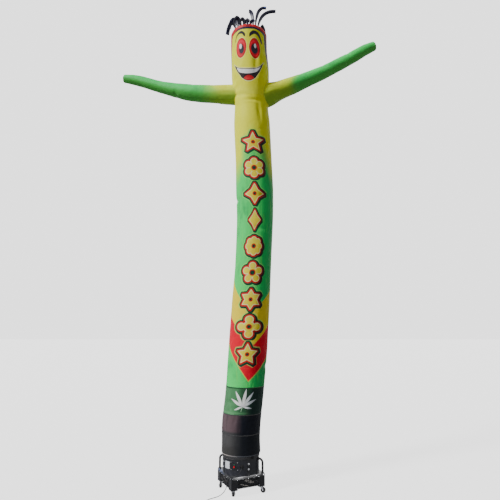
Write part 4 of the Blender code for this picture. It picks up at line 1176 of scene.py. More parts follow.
def plainBandFinish(name, light, dark, turn, foot, hem=0.0):
    # A dark band, with painted light on its left side and painted shade on its right, and soft upright
    # streaks
    paint, u, v = clothPaint(name)
    streak = paint.noise(paint.vector(u * 12, v * 1.2), 1.3, 3)
    paint.colour = paint.mix(light, dark, (u + (streak - 0.5) * 0.12).rise(*turn))
    paint.lay(dark, streak.rise(0.50, 0.72) * 0.45)
    paint.lay(paint.mix(foot[0], dark, u.rise(*turn)), v.rise(foot[1], foot[2]))
    if hem:
        # painted highlight along the hem's lower edge, lighter on the left side
        rim = paint.mix((0.62, 0.55, 0.52), (0.16, 0.17, 0.20), u.rise(-0.26, 0.02))
        paint.lay(rim, v.rise(hem, hem - 0.006) * (streak * 0.5 + 0.6).clipped())
    return clothFinish(paint, u, v, 0.06)


# lit and shaded tone, painted as light and shade, where one turns into the other, the foot's tone and
# heights, the hem's height
bands = {
    "printBand": (
        (0.120, 0.080, 0.092), (0.006, 0.008, 0.014), (-0.14, 0.03),
        ((0.052, 0.053, 0.055), 0.735, 0.700),
    ),
    "cuff": (
        (0.068, 0.067, 0.069), (0.006, 0.008, 0.012), (-0.17, 0.05),
        ((0.046, 0.045, 0.044), 0.60, 0.50), 0.455,
    ),
}
clothFinishes = {
    "head": headFinish(),
    "body": bodyFinish(),
    "leafBand": leafBandFinish(),
    "printBand": plainBandFinish("printBandCloth", *bands["printBand"]),
    "cuff": plainBandFinish("cuffCloth", *bands["cuff"]),
}
print("cloth prints made")


def makeTube():
    gap, leafTop, bandTop = (tube[key] for key in ("gap", "leafTop", "bandTop"))
    sections = (
        ("bodyHead", 5.000, tube["crown"], "head", "yellow_cloth", "body_tube"),
        ("bodyChest", 3.167, 5.000, "body", "yellow_cloth", "body_tube"),
        ("bodySkirt", leafTop, 3.167, "body", "green_cloth", "body_tube"),
        ("leafBand", bandTop, leafTop - gap, "leafBand", "dark_green_cloth", "leaf_band"),
        ("printBand", tube["cuffTop"], bandTop - gap, "printBand", "brown_cloth", "print_band"),
    )
    for name, low, high, finish, slot, node in sections:
        piece = tubeSection(name, low, high, clothFinishes[finish], slot, node)


makeTube()
print("tube sewn")


# Sleeves, which start on the tube's wall

arms = {
    "armLeft": {
        "node": "arm_left",
        "rows": (
            (0.020, -0.345, 5.105, 0.276), (-0.121, -0.320, 5.121, 0.266), (-0.290, -0.275, 5.152, 0.252),
            (-0.448, -0.225, 5.186, 0.243), (-0.786, -0.145, 5.262, 0.221), (-1.134, -0.065, 5.381, 0.170),
            (-1.521, 0.010, 5.533, 0.147), (-1.728, 0.050, 5.591, 0.122),
        ),
        # share of the length, turn from its top, half length, half round, depth
        "folds": (
            (0.40, 20, 0.020, 0.090, 0.010), (0.52, 205, 0.030, 0.080, 0.012),
            (0.22, 150, 0.080, 0.030, 0.010), (0.36, 5, 0.010, 0.090, 0.006),
            (0.66, -30, 0.012, 0.060, 0.004), (0.81, 30, 0.012, 0.060, 0.004),
        ),
        "fade": (0.16, 0.62), "flat": (0.88, 1.85), "seed": 20,
    },
    "armRight": {
        "node": "arm_right",
        "rows": (
            (0.215, -0.350, 5.045, 0.330), (0.375, -0.350, 5.112, 0.318), (0.500, -0.348, 5.162, 0.262),
            (0.645, -0.345, 5.223, 0.238), (0.892, -0.340, 5.336, 0.202), (1.142, -0.335, 5.457, 0.178),
            (1.470, -0.335, 5.639, 0.166), (1.726, -0.335, 5.794, 0.148), (1.845, -0.335, 5.852, 0.126),
        ),
        "folds": (
            (0.30, -60, 0.022, 0.080, 0.011), (0.78, 40, 0.022, 0.070, 0.008),
            (0.20, 200, 0.090, 0.030, 0.010), (0.56, 10, 0.010, 0.070, 0.005),
            (0.88, -40, 0.012, 0.060, 0.004),
        ),
        "fade": (0.26, 0.60), "flat": (1.02, 1.80), "seed": 40,
    },
    "sides": 56, "rings": 118, "tipRound": 0.010, "vent": 0.022, "mapWidth": 0.62,
    # depth, scale and change along the sleeve of the dents and ridges
    "dents": ((0.0026, 1.1, 9), (0.0014, 2.6, 26), (0.0022, 1.4, 12)),
    # gathers at the root and the tip: depth, place, reach and count
    "rootGathers": (0.0050, 0.19, 0.09, 13),
    "tipGathers": (0.0030, 0.035, 15),
    # the tip's rings: how wide they are, and how far on
    "tip": ((0.985, 0.35), (0.93, 0.75), (0.84, 0.95), (0.70, 1.02), (0.50, 1.0)),
    "pleats": (0.0044, 9),
}


def armWall(name, inset):
    # Rings along the sleeve, of which the first lie inside the tube
    spec, sides, count = arms[name], arms["sides"], arms["rings"]
    rows = through(spec["rows"], count)
    length = sum((b.resized(3) - a.resized(3)).length for a, b in zip(rows, rows[1:]))
    rings, starts = [], [(spec["seed"], start) for start in (0, 5, 9)]
    rootDeep, rootPlace, rootReach, rootCount = arms["rootGathers"]
    tipDeep, tipReach, tipCount = arms["tipGathers"]
    for i, row in enumerate(rows):
        ahead = (rows[min(i + 1, count - 1)] - rows[max(i - 1, 0)]).resized(3).normalized()
        side = ahead.cross(upward).normalized()
        up = side.cross(ahead)
        share, radius = i / (count - 1), row[3] / 2
        dentRows = zip(arms["dents"], starts)
        dentRows = [(deep, scale, (*start, share * rate)) for (deep, scale, rate), start in dentRows]
        ring = []
        for k in range(sides):
            angle = tau * k / sides
            rim = rimOf(angle)
            out = dents(rim, 0.72, *dentRows)
            for at, facing, halfLong, halfRound, deepest in spec["folds"]:
                across = radius * radians(turned(degrees(angle), facing))
                out -= deepest * hump(length * (share - at), halfLong) * hump(across, halfRound)
            crease = wave(rootCount * angle + 2 * noise.noise(rim * 3))
            out -= rootDeep * hump(share * length - rootPlace, rootReach) * crease
            out -= tipDeep * hump(1 - share, tipReach) * wave(tipCount * angle)
            reach = (rim.x * up + rim.y * side) * (radius - inset + out)
            ring.append(blower["place"] + row.resized(3) + reach)
        rings.append(ring)
    return rings, length


def outsideTube(point):
    # How far a point lies outside the tube's wall
    middle = tubeMiddle(point.z)
    flat = Vector((point.x - middle.x, point.y - middle.y, 0))
    azimuth = degrees(atan2(flat.x, -flat.y))
    return flat.length - (tubePoint(azimuth, point.z) - middle).length


def startedOnTube(rings, lift):
    # The same lines from where each leaves the tube's wall
    lines = []
    for line in zip(*rings):
        first = next(i for i, point in enumerate(line) if outsideTube(point) > lift)
        low, high = line[max(first - 1, 0)], line[first]
        for step in range(12):
            middle = (low + high) / 2
            low, high = (low, middle) if outsideTube(middle) > lift else (middle, high)
        lines.append(evenly([high, *line[first:]], len(rings)))
    return [list(ring) for ring in zip(*lines)]


def tipRings(ring, inset):
    # The turned-in tip, down to its vent
    middle = sum(ring, Vector()) / len(ring)
    ahead = (ring[0] - middle).cross(ring[arms["sides"] // 4] - middle).normalized()
    vent = arms["vent"] / (ring[0] - middle).length
    rings = []
    deep, count = arms["pleats"]
    for share, forward in (*arms["tip"], (vent, 0.9)):
        gathered = []
        for k, point in enumerate(ring):
            pleat = deep * sin(tau * count * k / len(ring)) * (1 - share)
            shift = ahead * (arms["tipRound"] * forward - inset + pleat)
            gathered.append(middle + shift + (point - middle) * share)
        rings.append(gathered)
    return rings


def armFinish(name, fade):
    paint, u, v = clothPaint(name + "Cloth")
    patch = paint.noise(paint.vector(u * 4, v * 2, 3), 2, 3)
    green = paint.mix(cloth["green"], cloth["deepGreen"], patch.rise(0.48, 0.75) * 0.5)
    drift = paint.noise(paint.vector(u * 1.5, v * 1.5, 7), 3, 2)
    share = (v + (drift - 0.5) * 0.30).rise(fade[1], fade[0])
    # painted shade: darker green on the sleeve's underside, away from the top of its map
    under = (u.size() - 0.15).rise(-0.05, 0.08)
    paint.colour = paint.mix(green, (0.62, 0.92, 0.050), share)
    paint.lay(cloth["yellow"], share.squared() * 0.8)
    paint.lay((0.090, 0.34, 0.040), under * 0.75)
    return clothFinish(paint, u, v)


def makeArm(name):
    spec, sides, across = arms[name], arms["sides"], arms["mapWidth"]
    walls = []
    for inset in (0, tube["wall"]):
        rings, length = armWall(name, inset)
        rings = startedOnTube(rings, tube["gap"])
        walls.append(rings + tipRings(rings[-1], inset))

    def mapAt(r, k):
        # The turn from the sleeve's top, and the way along it
        turn = k / sides - (1 if k / sides > 0.5 else 0)
        return (turn * across, length * min(1.02, r / (arms["rings"] - 1)))

    mesh = wallMesh(name, walls[0], walls[1], mapAt)
    layer = mesh.uv_layers["clothMap"].data
    for face in mesh.polygons:  # a face across the underside keeps both its ends on one side
        corners = [layer[i] for i in face.loop_indices]
        places = [corner.uv[0] for corner in corners]
        if max(places) - min(places) > across / 2:
            for corner in corners:
                if corner.uv[0] < 0:
                    corner.uv[0] += across
    piece = addPiece(mesh, armFinish(name, spec["fade"]), 40, "green_cloth", spec["node"])
    girth = sum(row[3] for row in spec["rows"]) / len(spec["rows"]) * pi
    round(girth * (length - 0.12), 2)
    return walls[0]


armRings = {name: makeArm(name) for name in ("armLeft", "armRight")}
print("sleeves made")


# The crown: a domed panel with gathers round its rim and a vent for the air

crown = {"rise": 0.085, "vent": 0.045, "square": 2.6, "rings": 26}


def crownHeight(radius):
    share = min(1, radius / tubeRadius(tube["crown"]))
    return tube["crown"] + crown["rise"] * (1 - share ** crown["square"]) ** (1 / crown["square"])


def crownFinish():
    paint, u, v = clothPaint("crownCloth")
    # lighter red streaks are painted highlights
    streak = paint.noise(paint.vector(u * 8, v * 8), 2.4, 3)
    paint.colour = paint.mix(cloth["hoodRed"], (0.92, 0.13, 0.14), streak.rise(0.50, 0.66) * 0.85)
    # painted shade of a fold: a dark red stripe from the front towards the middle
    paintedFoldShade = inside((u + 0.012).size() - 0.020, 0.012)
    paint.lay((0.16, 0.004, 0.016), paintedFoldShade * v.rise(0.03, -0.10) * 0.9)
    return clothFinish(paint, u, v)


def makeCrown():
    sides, rings, wall, top = tube["sides"], crown["rings"], tube["wall"], tube["crown"]
    full, middle = tubeRadius(top), tubeMiddle(top)
    facings = facingsOf(sides)
    reaches = [(tubePoint(azimuth, top) - middle).length - full for azimuth in facings]
    shares = [sin(pi / 2 * r / (rings - 1)) for r in range(rings)]
    radii = [crown["vent"] + (full - crown["vent"]) * share for share in shares]
    outer, inner = [], []
    for radius in radii:
        share = radius / full
        ring, under = [], []
        for azimuth, reach in zip(facings, reaches):
            out = towards(azimuth)
            size = radius + reach * share**4
            height = crownHeight(radius) + tube["gap"]
            spread = wave(radians(azimuth) * 46 + 4 * noise.noise(out * 5))
            height -= 0.0030 * hump(share - 0.93, 0.09) * spread * (1 - share**12)
            height -= 0.0035 * (0.5 + 0.5 * noise.noise(out * share * 3.4)) * share * (1 - share**6)
            ring.append(Vector((middle.x, middle.y, height)) + out * size)
            tilt = min(1, max(0, (share - 0.9) / 0.1)) ** 2
            under.append(ring[-1] - upward * wall * (1 - tilt) - out * wall * tilt)
        outer.append(ring)
        inner.append(under)
    outer[-1] = [Vector((point.x, point.y, top + tube["gap"])) for point in outer[-1]]
    inner[-1] = [point - towards(azimuth) * wall for point, azimuth in zip(outer[-1], facings)]

    def mapAt(r, k):
        out = towards(-180 + 360 * k / sides) * radii[r]
        return (out.x, out.y)

    mesh = wallMesh("crownPanel", outer, inner, mapAt)
    piece = addPiece(mesh, crownFinish(), 40, "red_cloth", "crown_panel")


makeCrown()


# Hair: glossy flat tubes of cloth sewn on the crown in four tufts

hair = {
    "strip": (0.016, 0.004), "seat": 0.0010, "thick": 0.0070, "steps": 34, "round": 14,
    "twist": 58,
    "tufts": {
        "hairRight": ("hair_right", 0.095, -0.075, 20, 0.150),
        "hairLeft": ("hair_left", -0.125, -0.070, -30, 0.150),
        "hairMiddle": ("hair_middle", -0.020, -0.140, 0, 0.110),
        "hairBack": ("hair_back", 0.000, 0.120, 5, 0.190),
    },
    # place along the strip, azimuth, reach, rise, end height, width
    "ribbons": {
        "hairRight": (
            (-0.036, -84, 0.062, 0.225, 0.255, 0.038), (-0.008, 84, 0.152, 0.300, 0.305, 0.032),
            (0.026, 92, 0.250, 0.235, 0.285, 0.034), (0.060, 150, 0.130, 0.110, 0.030, 0.034),
        ),
        "hairLeft": (
            (-0.060, -100, 0.120, 0.150, -0.035, 0.042), (-0.020, -86, 0.125, 0.165, 0.020, 0.042),
            (0.020, -60, 0.115, 0.150, 0.020, 0.040), (0.060, 64, 0.070, 0.090, 0.045, 0.036),
        ),
        "hairMiddle": (
            (-0.036, -60, 0.060, 0.090, 0.050, 0.036), (0.000, 16, 0.062, 0.080, 0.032, 0.036),
            (0.036, 66, 0.062, 0.066, 0.040, 0.034),
        ),
        "hairBack": (
            (-0.080, -150, 0.200, 0.090, -0.080, 0.036), (-0.040, -168, 0.200, 0.120, -0.060, 0.038),
            (0.000, 178, 0.200, 0.100, -0.110, 0.038), (0.040, 166, 0.200, 0.130, -0.060, 0.036),
            (0.080, 148, 0.210, 0.085, -0.090, 0.036),
        ),
    },
}


def hairFinish():
    paint = Paint("hairSatin", Coat_Weight=0.10, Coat_Roughness=0.25, Specular_IOR_Level=0.3)
    u, v, w = paint.parts(paint.cloth())
    fold = paint.noise(paint.vector(u * 60, v * 7), 1.6)
    # pale blue streaks are painted highlights
    paintedShine = paint.noise(paint.vector(u * 30, v * 4, 5), 1.2, 2)
    paint.colour = (0.003, 0.004, 0.030)
    paint.lay((0.16, 0.26, 0.75), paintedShine.rise(0.58, 0.68) * 0.8)
    paint.lay((0.70, 0.82, 1.00), paintedShine.rise(0.66, 0.72) * 0.8)
    return paint.finish(fold * 0.2 + 0.28, paint.bump(fold, 0.004, 0.5))


def ribbonPath(root, azimuth, reach, rise, end):
    # A cubic curve up from the root, over and down to the tip
    out, steps = towards(azimuth), hair["steps"]
    tip = root + out * reach + upward * end
    first = root + upward * rise * 1.25 + out * reach * 0.10
    second = root + out * reach * 0.80 + upward * (rise * 1.30 if rise > end else end)
    path = []
    for k in range(steps + 1):
        t, s = k / steps, 1 - k / steps
        path.append(root * s**3 + first * 3 * s * s * t + second * 3 * s * t * t + tip * t**3)
    return path


def ribbonMesh(name, number, path, azimuth, width):
    # A flat tube of cloth along a path, twisted to face where it blows
    steps, around, flat = hair["steps"], hair["round"], towards(azimuth + 90)
    size = sum((b - a).length for a, b in zip(path, path[1:]))
    rings = []
    for i, point in enumerate(path):
        t = i / steps
        ahead = (path[min(i + 1, steps)] - path[max(i - 1, 0)]).normalized()
        face = ahead.cross(flat).normalized()
        sway = noise.noise(Vector((number * 3.7, t * 3.1, len(name))))
        half = width / 2 * (0.45 + 0.85 * min(1, t * 4)) * (0.98 + 0.16 * sway)
        twist = radians(14) * sin(t * pi) * sway
        twist -= radians(hair["twist"]) * sin(radians(azimuth))
        wideWay = flat * cos(twist) + face * sin(twist)
        thinWay = face * cos(twist) - flat * sin(twist)
        thick = hair["thick"] / 2 * (1 + 0.3 * sin(t * 11 + number))
        ring = []
        for j in range(around):
            c, s = cos(tau * j / around), sin(tau * j / around)
            bow = 0.0035 * (c * c - 0.5) * sin(t * pi)
            ring.append(point + wideWay * half * c + thinWay * (thick * s + bow) * min(1, 0.4 + t * 6))
        rings.append(ring)
    mapAt = lambda r, k: (abs((k / around) * 2 - 1) * width + number * 0.06, r / steps * size)
    return sweptMesh(name, rings, mapAt=mapAt), size * width


def makeTuft(name, finish):
    node, right, back, turn, length = hair["tufts"][name]
    head = tubeMiddle(tube["crown"])
    middle = Vector((head.x + right, head.y + back, 0))
    along, across = towards(90 + turn), towards(turn)
    wide, high = (size / 2 for size in hair["strip"])

    def seat(point):
        return crownHeight(hypot(point.x - head.x, point.y - head.y)) + hair["seat"]

    rings = []
    for k in range(15):
        ring = ringOf(middle + along * length * (k / 14 - 0.5), across * wide, upward * high, 12, (0.5, 0.5))
        for point in ring:
            point.z += seat(point) + high + 0.0006 * sin(k * 1.9) * (point.z > 0)
        rings.append(ring)
    meshes, area = [sweptMesh(name, rings, mapAt=lambda r, k: (0.3 + k * 0.003, r * 0.01))], 0.002
    for number, (place, azimuth, reach, rise, end, width) in enumerate(hair["ribbons"][name]):
        root = middle + along * place
        root.z = seat(root) + high
        mesh, covered = ribbonMesh(name, number, ribbonPath(root, azimuth, reach, rise, end), azimuth, width)
        meshes.append(mesh)
        area += covered
    piece = addPiece(joinedMesh(name, meshes), finish, 60, "hair_ribbon", node)
    broad = round(0.040 * len(hair["ribbons"][name]), 3)
    round(area / broad * 1.06, 3)


satin = hairFinish()
for tuftName in hair["tufts"]:
    makeTuft(tuftName, satin)
print("crown and hair made")


# The cuff that hugs the blower, and its strap

cuff = {
    "tail": 0.2316, "tailFoot": 0.409, "strap": (0.411, 0.437, 0.002), "strapSeat": 0.0004,
    "strapLength": 1.47, "buckleFacing": 38, "buckleSeat": 0.0008,
    "buckle": (
        ((-0.020, 0.0, -0.016), (0.020, 0.0030, 0.016)),
        ((-0.006, 0.0025, -0.0145), (0.016, 0.0080, 0.0145)),
        ((-0.019, 0.0025, -0.0160), (-0.013, 0.0065, 0.0160)),
    ),
    "hem": (
        (0.0000, 0.4382), (0.0028, 0.4387), (0.0056, 0.4398), (0.0082, 0.4420), (0.0100, 0.4452),
        (0.0112, 0.4490),
    ),
}


def makeCuff():
    foot = [(cuff["tail"], cuff["tailFoot"]), (cuff["tail"], 0.424)]
    foot += [(cuff["tail"] + out, height) for out, height in cuff["hem"]]
    top = tube["cuffTop"] - tube["gap"]
    piece = tubeSection("baseCuff", 0.456, top, clothFinishes["cuff"], "black_cloth", "base_cuff", foot)


makeCuff()
print("cuff made")


# Welts and thread along the seams

sewing = {
    "welt": (0.0100, 0.0018),  # across and thick
    "stitch": (0.0046, 0.0011, 0.0009), "pitch": 0.0068, "rows": (-0.0028, 0.0028),
    "sides": 216,
    # height of each seam, the tint of its welt and of its thread
    "seams": {
        "crown": (5.8985, (0.50, 0.010, 0.018), (0.30, 0.02, 0.03), "red_cloth"),
        "leafTop": (1.2450, (0.006, 0.050, 0.016), (0.02, 0.16, 0.05), "dark_green_cloth"),
        "bandTop": (0.9200, (0.022, 0.020, 0.022), (0.02, 0.05, 0.03), "brown_cloth"),
        "cuffTop": (0.6820, (0.018, 0.018, 0.020), (0.022, 0.020, 0.022), "black_cloth"),
    },
    # the upright seams at the back, between two heights
    "backSeams": {
        "upperBack": (4.150, 5.885, (0.70, 0.66, 0.020), (0.55, 0.50, 0.02), "yellow_cloth"),
        "lowerBack": (1.255, 4.150, (0.010, 0.30, 0.080), (0.02, 0.24, 0.06), "green_cloth"),
    },
    "armSeams": {
        "armLeft": ((0.78, 0.76, 0.020), (0.55, 0.50, 0.02)),
        "armRight": ((0.60, 0.66, 0.020), (0.40, 0.42, 0.02)),
    },
}


def sew(name, part, rings, lines, closed, weltTint, threadTint, slot):
    # A welt or tape, and its stitches
    rows = (weltTint, (tuple(min(1, x * 2.2) for x in weltTint), 0.45, 0.8, 1))
    welt = plainFinish(name + "Welt", {}, (12, 3), rows, (0.25, 0.4), (420, 3), (0.0006, 0.5))
    rows = (threadTint, (tuple(x * 0.4 for x in threadTint), 0.4, 0.7, 1))
    thread = plainFinish(name + "Thread", {}, (900, 2), rows, (0.3, 0.45), (900, 2), (0.0003, 0.6))
    addPiece(sweptMesh(name + part, rings, closed), welt, 60, slot)
    stitchAlong(name + "Stitches", lines, closed, thread, slot)


def makeSeam(name, height, *rest):
    across, thick = (size / 2 for size in sewing["welt"])
    rings, facings = [], facingsOf(sewing["sides"])
    for azimuth in facings:
        out = towards(azimuth)
        middle = tubePoint(azimuth, height, thick / 2) + upward * 0.0010 * noise.noise(out * 7)
        rings.append(ringOf(middle, upward * across, out * thick, 10, (0.7, 1)))
    lines = []
    for step in sewing["rows"]:
        lines.append([tubePoint(azimuth, height + step, thick * 1.5) for azimuth in facings])
    sew(name, "Welt", rings, lines, True, *rest)


def makeBackSeam(name, low, high, *rest):
    across, thick = (size / 2 for size in sewing["welt"])
    count, side, back = round((high - low) / 0.02) + 1, towards(-90), Vector((0, 1, 0))
    heights = [low + (high - low) * k / (count - 1) for k in range(count)]
    rings = []
    for height in heights:
        drift = side * 0.0008 * noise.noise(Vector((height * 9, 3, 0)))
        rings.append(ringOf(tubePoint(180, height, thick / 2) + drift, side * across, back * thick, 8))
    line = [tubePoint(180, height, thick * 1.5) for height in heights]
    lines = [[point + side * step for point in line] for step in sewing["rows"]]
    sew(name, "Welt", rings, lines, False, *rest)


def makeArmSeam(name, *tints):
    # A flat tape round the sleeve's root
    first, second = armRings[name][0], armRings[name][2]
    centre = sum(first, Vector()) / len(first)
    rings, line = [], []
    for root, after in zip(first, second):
        along = (after - root).normalized()
        out = (root - centre).normalized()
        out = (out - along * out.dot(along)).normalized()
        middle = root + along * 0.004 + out * 0.0003
        rings.append(ringOf(middle, along * 0.0048, out * 0.0011, 8))
        line.append(middle + out * 0.0011)
    sew(name, "Tape", rings, [line], True, *tints, "green_cloth")


for make, seams in ((makeSeam, "seams"), (makeBackSeam, "backSeams"), (makeArmSeam, "armSeams")):
    for seamName, seam in sewing[seams].items():
        make(seamName, *seam)
print("seams sewn")


# The webbing strap that holds the cuff on the drum, with its buckle


def webbingFinish(name, tint):
    paint = Paint(name, Sheen_Weight=0.1)
    u, v, w = paint.parts(paint.cloth())
    rib = ((v + u) * 520).math("SINE") * 0.5 + ((v - u) * 520).math("SINE") * 0.5
    edge = paint.noise(paint.place(), 70)
    paint.colour = tint
    paint.lay((0.05, 0.05, 0.055), rib.rise(0.2, 1.0) * 0.4 + edge.rise(0.6, 0.8) * 0.3)
    return paint.finish(edge * 0.3 + 0.55, paint.bump(rib, 0.0005, 0.7))


def makeStrap():
    (foot, top, thick), sides, radius = cuff["strap"], 180, cuff["tail"] + cuff["strapSeat"]
    heights = [foot + (top - foot) * k / 8 for k in range(9)]
    outer, inner = [], []
    for height in heights:
        bulge = thick * (1 - 0.25 * ((height - foot) / (top - foot) * 2 - 1) ** 4)
        outs = [towards(azimuth) for azimuth in facingsOf(sides)]
        level = blower["place"] + upward * height
        outer.append([level + out * (radius + bulge) for out in outs])
        inner.append([level + out * radius for out in outs])
    mesh = wallMesh("cuffStrap", outer, inner, lambda r, k: (k / sides * cuff["strapLength"], heights[r]))
    addPiece(mesh, webbingFinish("cuffWebbing", (0.010, 0.010, 0.012)), 40, "webbing", "cuff_strap")
    # a cam buckle on the strap, with the strap's free end
    out, along = towards(cuff["buckleFacing"]), towards(cuff["buckleFacing"] + 90)
    reach = cuff["tail"] + thick + cuff["buckleSeat"]
    base = blower["place"] + out * reach + upward * (foot + top) / 2
    place = lambda x, y, z: base + along * x + out * y + upward * z
    boxesPiece("cuffBuckle", cuff["buckle"], place, finishes["blackPlastic"], "webbing", (0.0014, 3))


makeStrap()


# Finishes of the blower


def paintedSteel():
    paint = Paint("blowerPaint", Coat_Weight=0.30, Coat_Roughness=0.15)
    where = paint.place()
    dust = paint.noise(where, 9, 4, 0.6)
    x, y, z = paint.parts(where)
    scuff = paint.noise(paint.vector(x * 40, y * 40, z * 9), 3, 4, 0.7)
    paint.colour = (0.007, 0.008, 0.013)
    paint.lay((0.040, 0.042, 0.055), dust.rise(0.52, 0.80) * 0.6)
    paint.lay((0.16, 0.17, 0.20), scuff.rise(0.66, 0.74) * 0.35)
    return paint.finish(dust * 0.30 + 0.12, paint.bump(paint.noise(where, 260), 0.0007, 0.45))


def drumPlastic():
    paint = Paint("drumPlastic", Coat_Weight=0.10, Coat_Roughness=0.3)
    where = paint.place()
    x, y, z = paint.parts(where)
    streak = paint.noise(paint.vector(x * 22, y * 22, z * 3), 2)
    paint.colour = (0.009, 0.010, 0.017)
    paint.lay((0.032, 0.034, 0.046), streak.rise(0.48, 0.78) * 0.7)
    # painted shade: darker towards the top, under the cuff's hem
    paint.lay((0.003, 0.003, 0.005), z.rise(0.345, 0.420) * 0.85)
    return paint.finish(streak * 0.25 + 0.30, paint.bump(paint.noise(where, 520), 0.0004, 0.35))


def blowerLines(paint, where, facing):
    # Across and away from the blower's middle for a facing, and up
    x, y, z = paint.parts(where)
    c, s = cos(radians(facing)), sin(radians(facing))
    x, y = x - blower["place"].x, y - blower["place"].y
    return x * c + y * s, y * c - x * s, z


def labelFinish():
    # A bare white plate with a thin printed frame and empty ruled rows
    paint = Paint("labelVinyl", Coat_Weight=0.2)
    where = paint.place()
    across, back, z = blowerLines(paint, where, blower["labelFacing"])
    up = z - blower["labelHeight"]
    frameLine = ((across.size() - 0.0315).size() - 0.0007).most(up.size() - 0.0362)
    cap = ((up.size() - 0.0355).size() - 0.0007).most(across.size() - 0.0322)
    rows = ((up / 0.0095 + 0.5).math("FRACT") - 0.5).size() * 0.0095 - 0.0004
    rule = rows.most(across.size() - 0.027).most(up.size() - 0.030)
    post = ((across + 0.006).size() - 0.0004).most(up.size() - 0.0285)
    ink = inside(frameLine.least(cap), 0.0003).most(inside(rule.least(post), 0.0003) * 0.7)
    grime = paint.noise(where, 30, 4)
    paint.colour = (0.80, 0.82, 0.88)
    paint.lay((0.62, 0.64, 0.70), grime.rise(0.5, 0.8) * 0.6)
    paint.lay((0.16, 0.17, 0.20), ink * 0.8)
    return paint.finish(grime * 0.2 + 0.28, paint.bump(grime, 0.0006, 0.3))


steelPaint = paintedSteel()
nodeFinishes = {  # by the start of a node's name
    "corner_post": steelPaint,
    "guard": steelPaint,
    "control_plate": steelPaint,
    "drum": drumPlastic(),
    "caster_plate": finishes["zincPlate"],
    "caster_fork": finishes["zincPlate"],
    "blank_label": labelFinish(),
    "switch_frame": finishes["blackPlastic"],
    "cord_gland": finishes["blackPlastic"],
    "switch_rocker": finishes["rockerPlastic"],
}
for nodeName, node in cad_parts.items():
    for start, finish in nodeFinishes.items():
        if nodeName.startswith(start):
            for materialSlot in node.material_slots:
                materialSlot.material = finish
print("blower finishes set")


# Fasteners, repeated with Geometry Nodes

fasteners = {
    # (radius, height, shape) rows up each head
    "bolt": (
        (0.0112, 0, "round"), (0.0120, 0.0006, "round"), (0.0116, 0.0016, "round"),
        (0.0097, 0.0018, "round"), (0.0085, 0.0019, "six"), (0.0085, 0.0050, "six"),
        (0.0073, 0.0062, "round"), (0.00425, 0.0066, "round"),
    ),
    "nut": (
        (0.0062, 0, "six"), (0.0062, 0.0022, "six"), (0.0056, 0.0029, "six"),
        (0.0040, 0.0031, "round"), (0.0036, 0.0042, "round"), (0.0020, 0.0046, "round"),
    ),
    "screw": (
        (0.0042, 0, "round"), (0.004284, 0.00077, "round"), (0.00378, 0.00165, "round"),
        (0.002604, 0.0022, "round"), (0.002184, 0.0022, "cross"), (0.001747, 0.00077, "cross"),
    ),
    "sides": {"bolt": 24, "nut": 24, "screw": 16},
    "crossWaist": 4 / 13,
    "bracketFacings": (0, 90, 180, 270),  # from the blower's own front
    "boltHeights": (0.358, 0.298), "boltLift": 0.0031,
    # rows of screws on each side: places across, heights and the reach of their seat
    "sideScrews": (
        ((-0.144, -0.072, 0.0, 0.072, 0.144), (0.0985, 0.1933), 0.2255),
        ((-0.205, -0.110, 0.110, 0.205), (0.211,), 0.2250),
    ),
    # (across, up) places of the screws on each plate, and its thickness
    "plateScrews": {
        "switch": (((-0.043, 0.041), (0.043, 0.041), (-0.043, -0.041), (0.043, -0.041)), 0.0023),
        "label": (((-0.033, 0.0375), (0.033, -0.0375)), 0.0013),
    },
    "plateReach": 0.2305,
    "bracket": {
        "thick": 0.0026, "half": 0.0155, "seat": 0.0004,
        "heights": (0.386, 0.372, 0.300, 0.236), "bend": 0.009, "tipShare": 0.62,
        "section": ((-1, 0), (-0.92, 1), (0, 1), (0.92, 1), (1, 0), (0, 0)),
    },
}


def onBlower(x, y, z):
    # A place in the blower's own lines
    return blower["place"] + towards(blower["turn"] + 90) * x - towards(blower["turn"]) * y + upward * z


def headMesh(name, scale=1.0):
    # The head of a bolt, nut or screw, standing along +Z
    sides = fasteners["sides"][name]
    rings = []
    for radius, height, shape in fasteners[name]:
        ring = []
        for k in range(sides):
            angle = tau * k / sides
            size = radius * scale
            if shape == "six":
                size *= cos(pi / 6) / cos((angle + pi / 6) % (pi / 3) - pi / 6)
            elif shape == "cross" and k % 4:
                size *= fasteners["crossWaist"]
            ring.append(rimOf(angle) * size + upward * height * scale)
        rings.append(ring)
    return sweptMesh(name + "Part", rings)


def aroundDrum(azimuth, height, lift=0.0):
    out = towards(azimuth)
    place = blower["place"] + out * (blower["drumRadius"] + lift) + upward * height
    return place, out, towards(azimuth + 90)


def makeFasteners():
    turn = blower["turn"]
    bolts, screws, small = [], [], []
    for facing in fasteners["bracketFacings"]:
        for height in fasteners["boltHeights"]:
            bolts.append(aroundDrum(turn + facing, height, fasteners["boltLift"]))
        out, along = towards(turn + facing), towards(turn + facing + 90)
        for across, heights, reach in fasteners["sideScrews"]:
            for x, height in ((x, height) for x in across for height in heights):
                screws.append((blower["place"] + out * reach + along * x + upward * height, out, along))
    for part, (spots, lift) in fasteners["plateScrews"].items():
        for x, z in spots:
            azimuth = blower[part + "Facing"] + degrees(x / fasteners["plateReach"])
            small.append(aroundDrum(azimuth, blower[part + "Height"] + z, lift))
    rows = (("drumBolts", bolts, "bolt"), ("guardScrews", screws, "screw"), ("plateScrews", small, "screw"))
    for name, places, part in rows:
        repeatPart(name, places, headMesh(part), finishes["screwSteel"], "zinc")


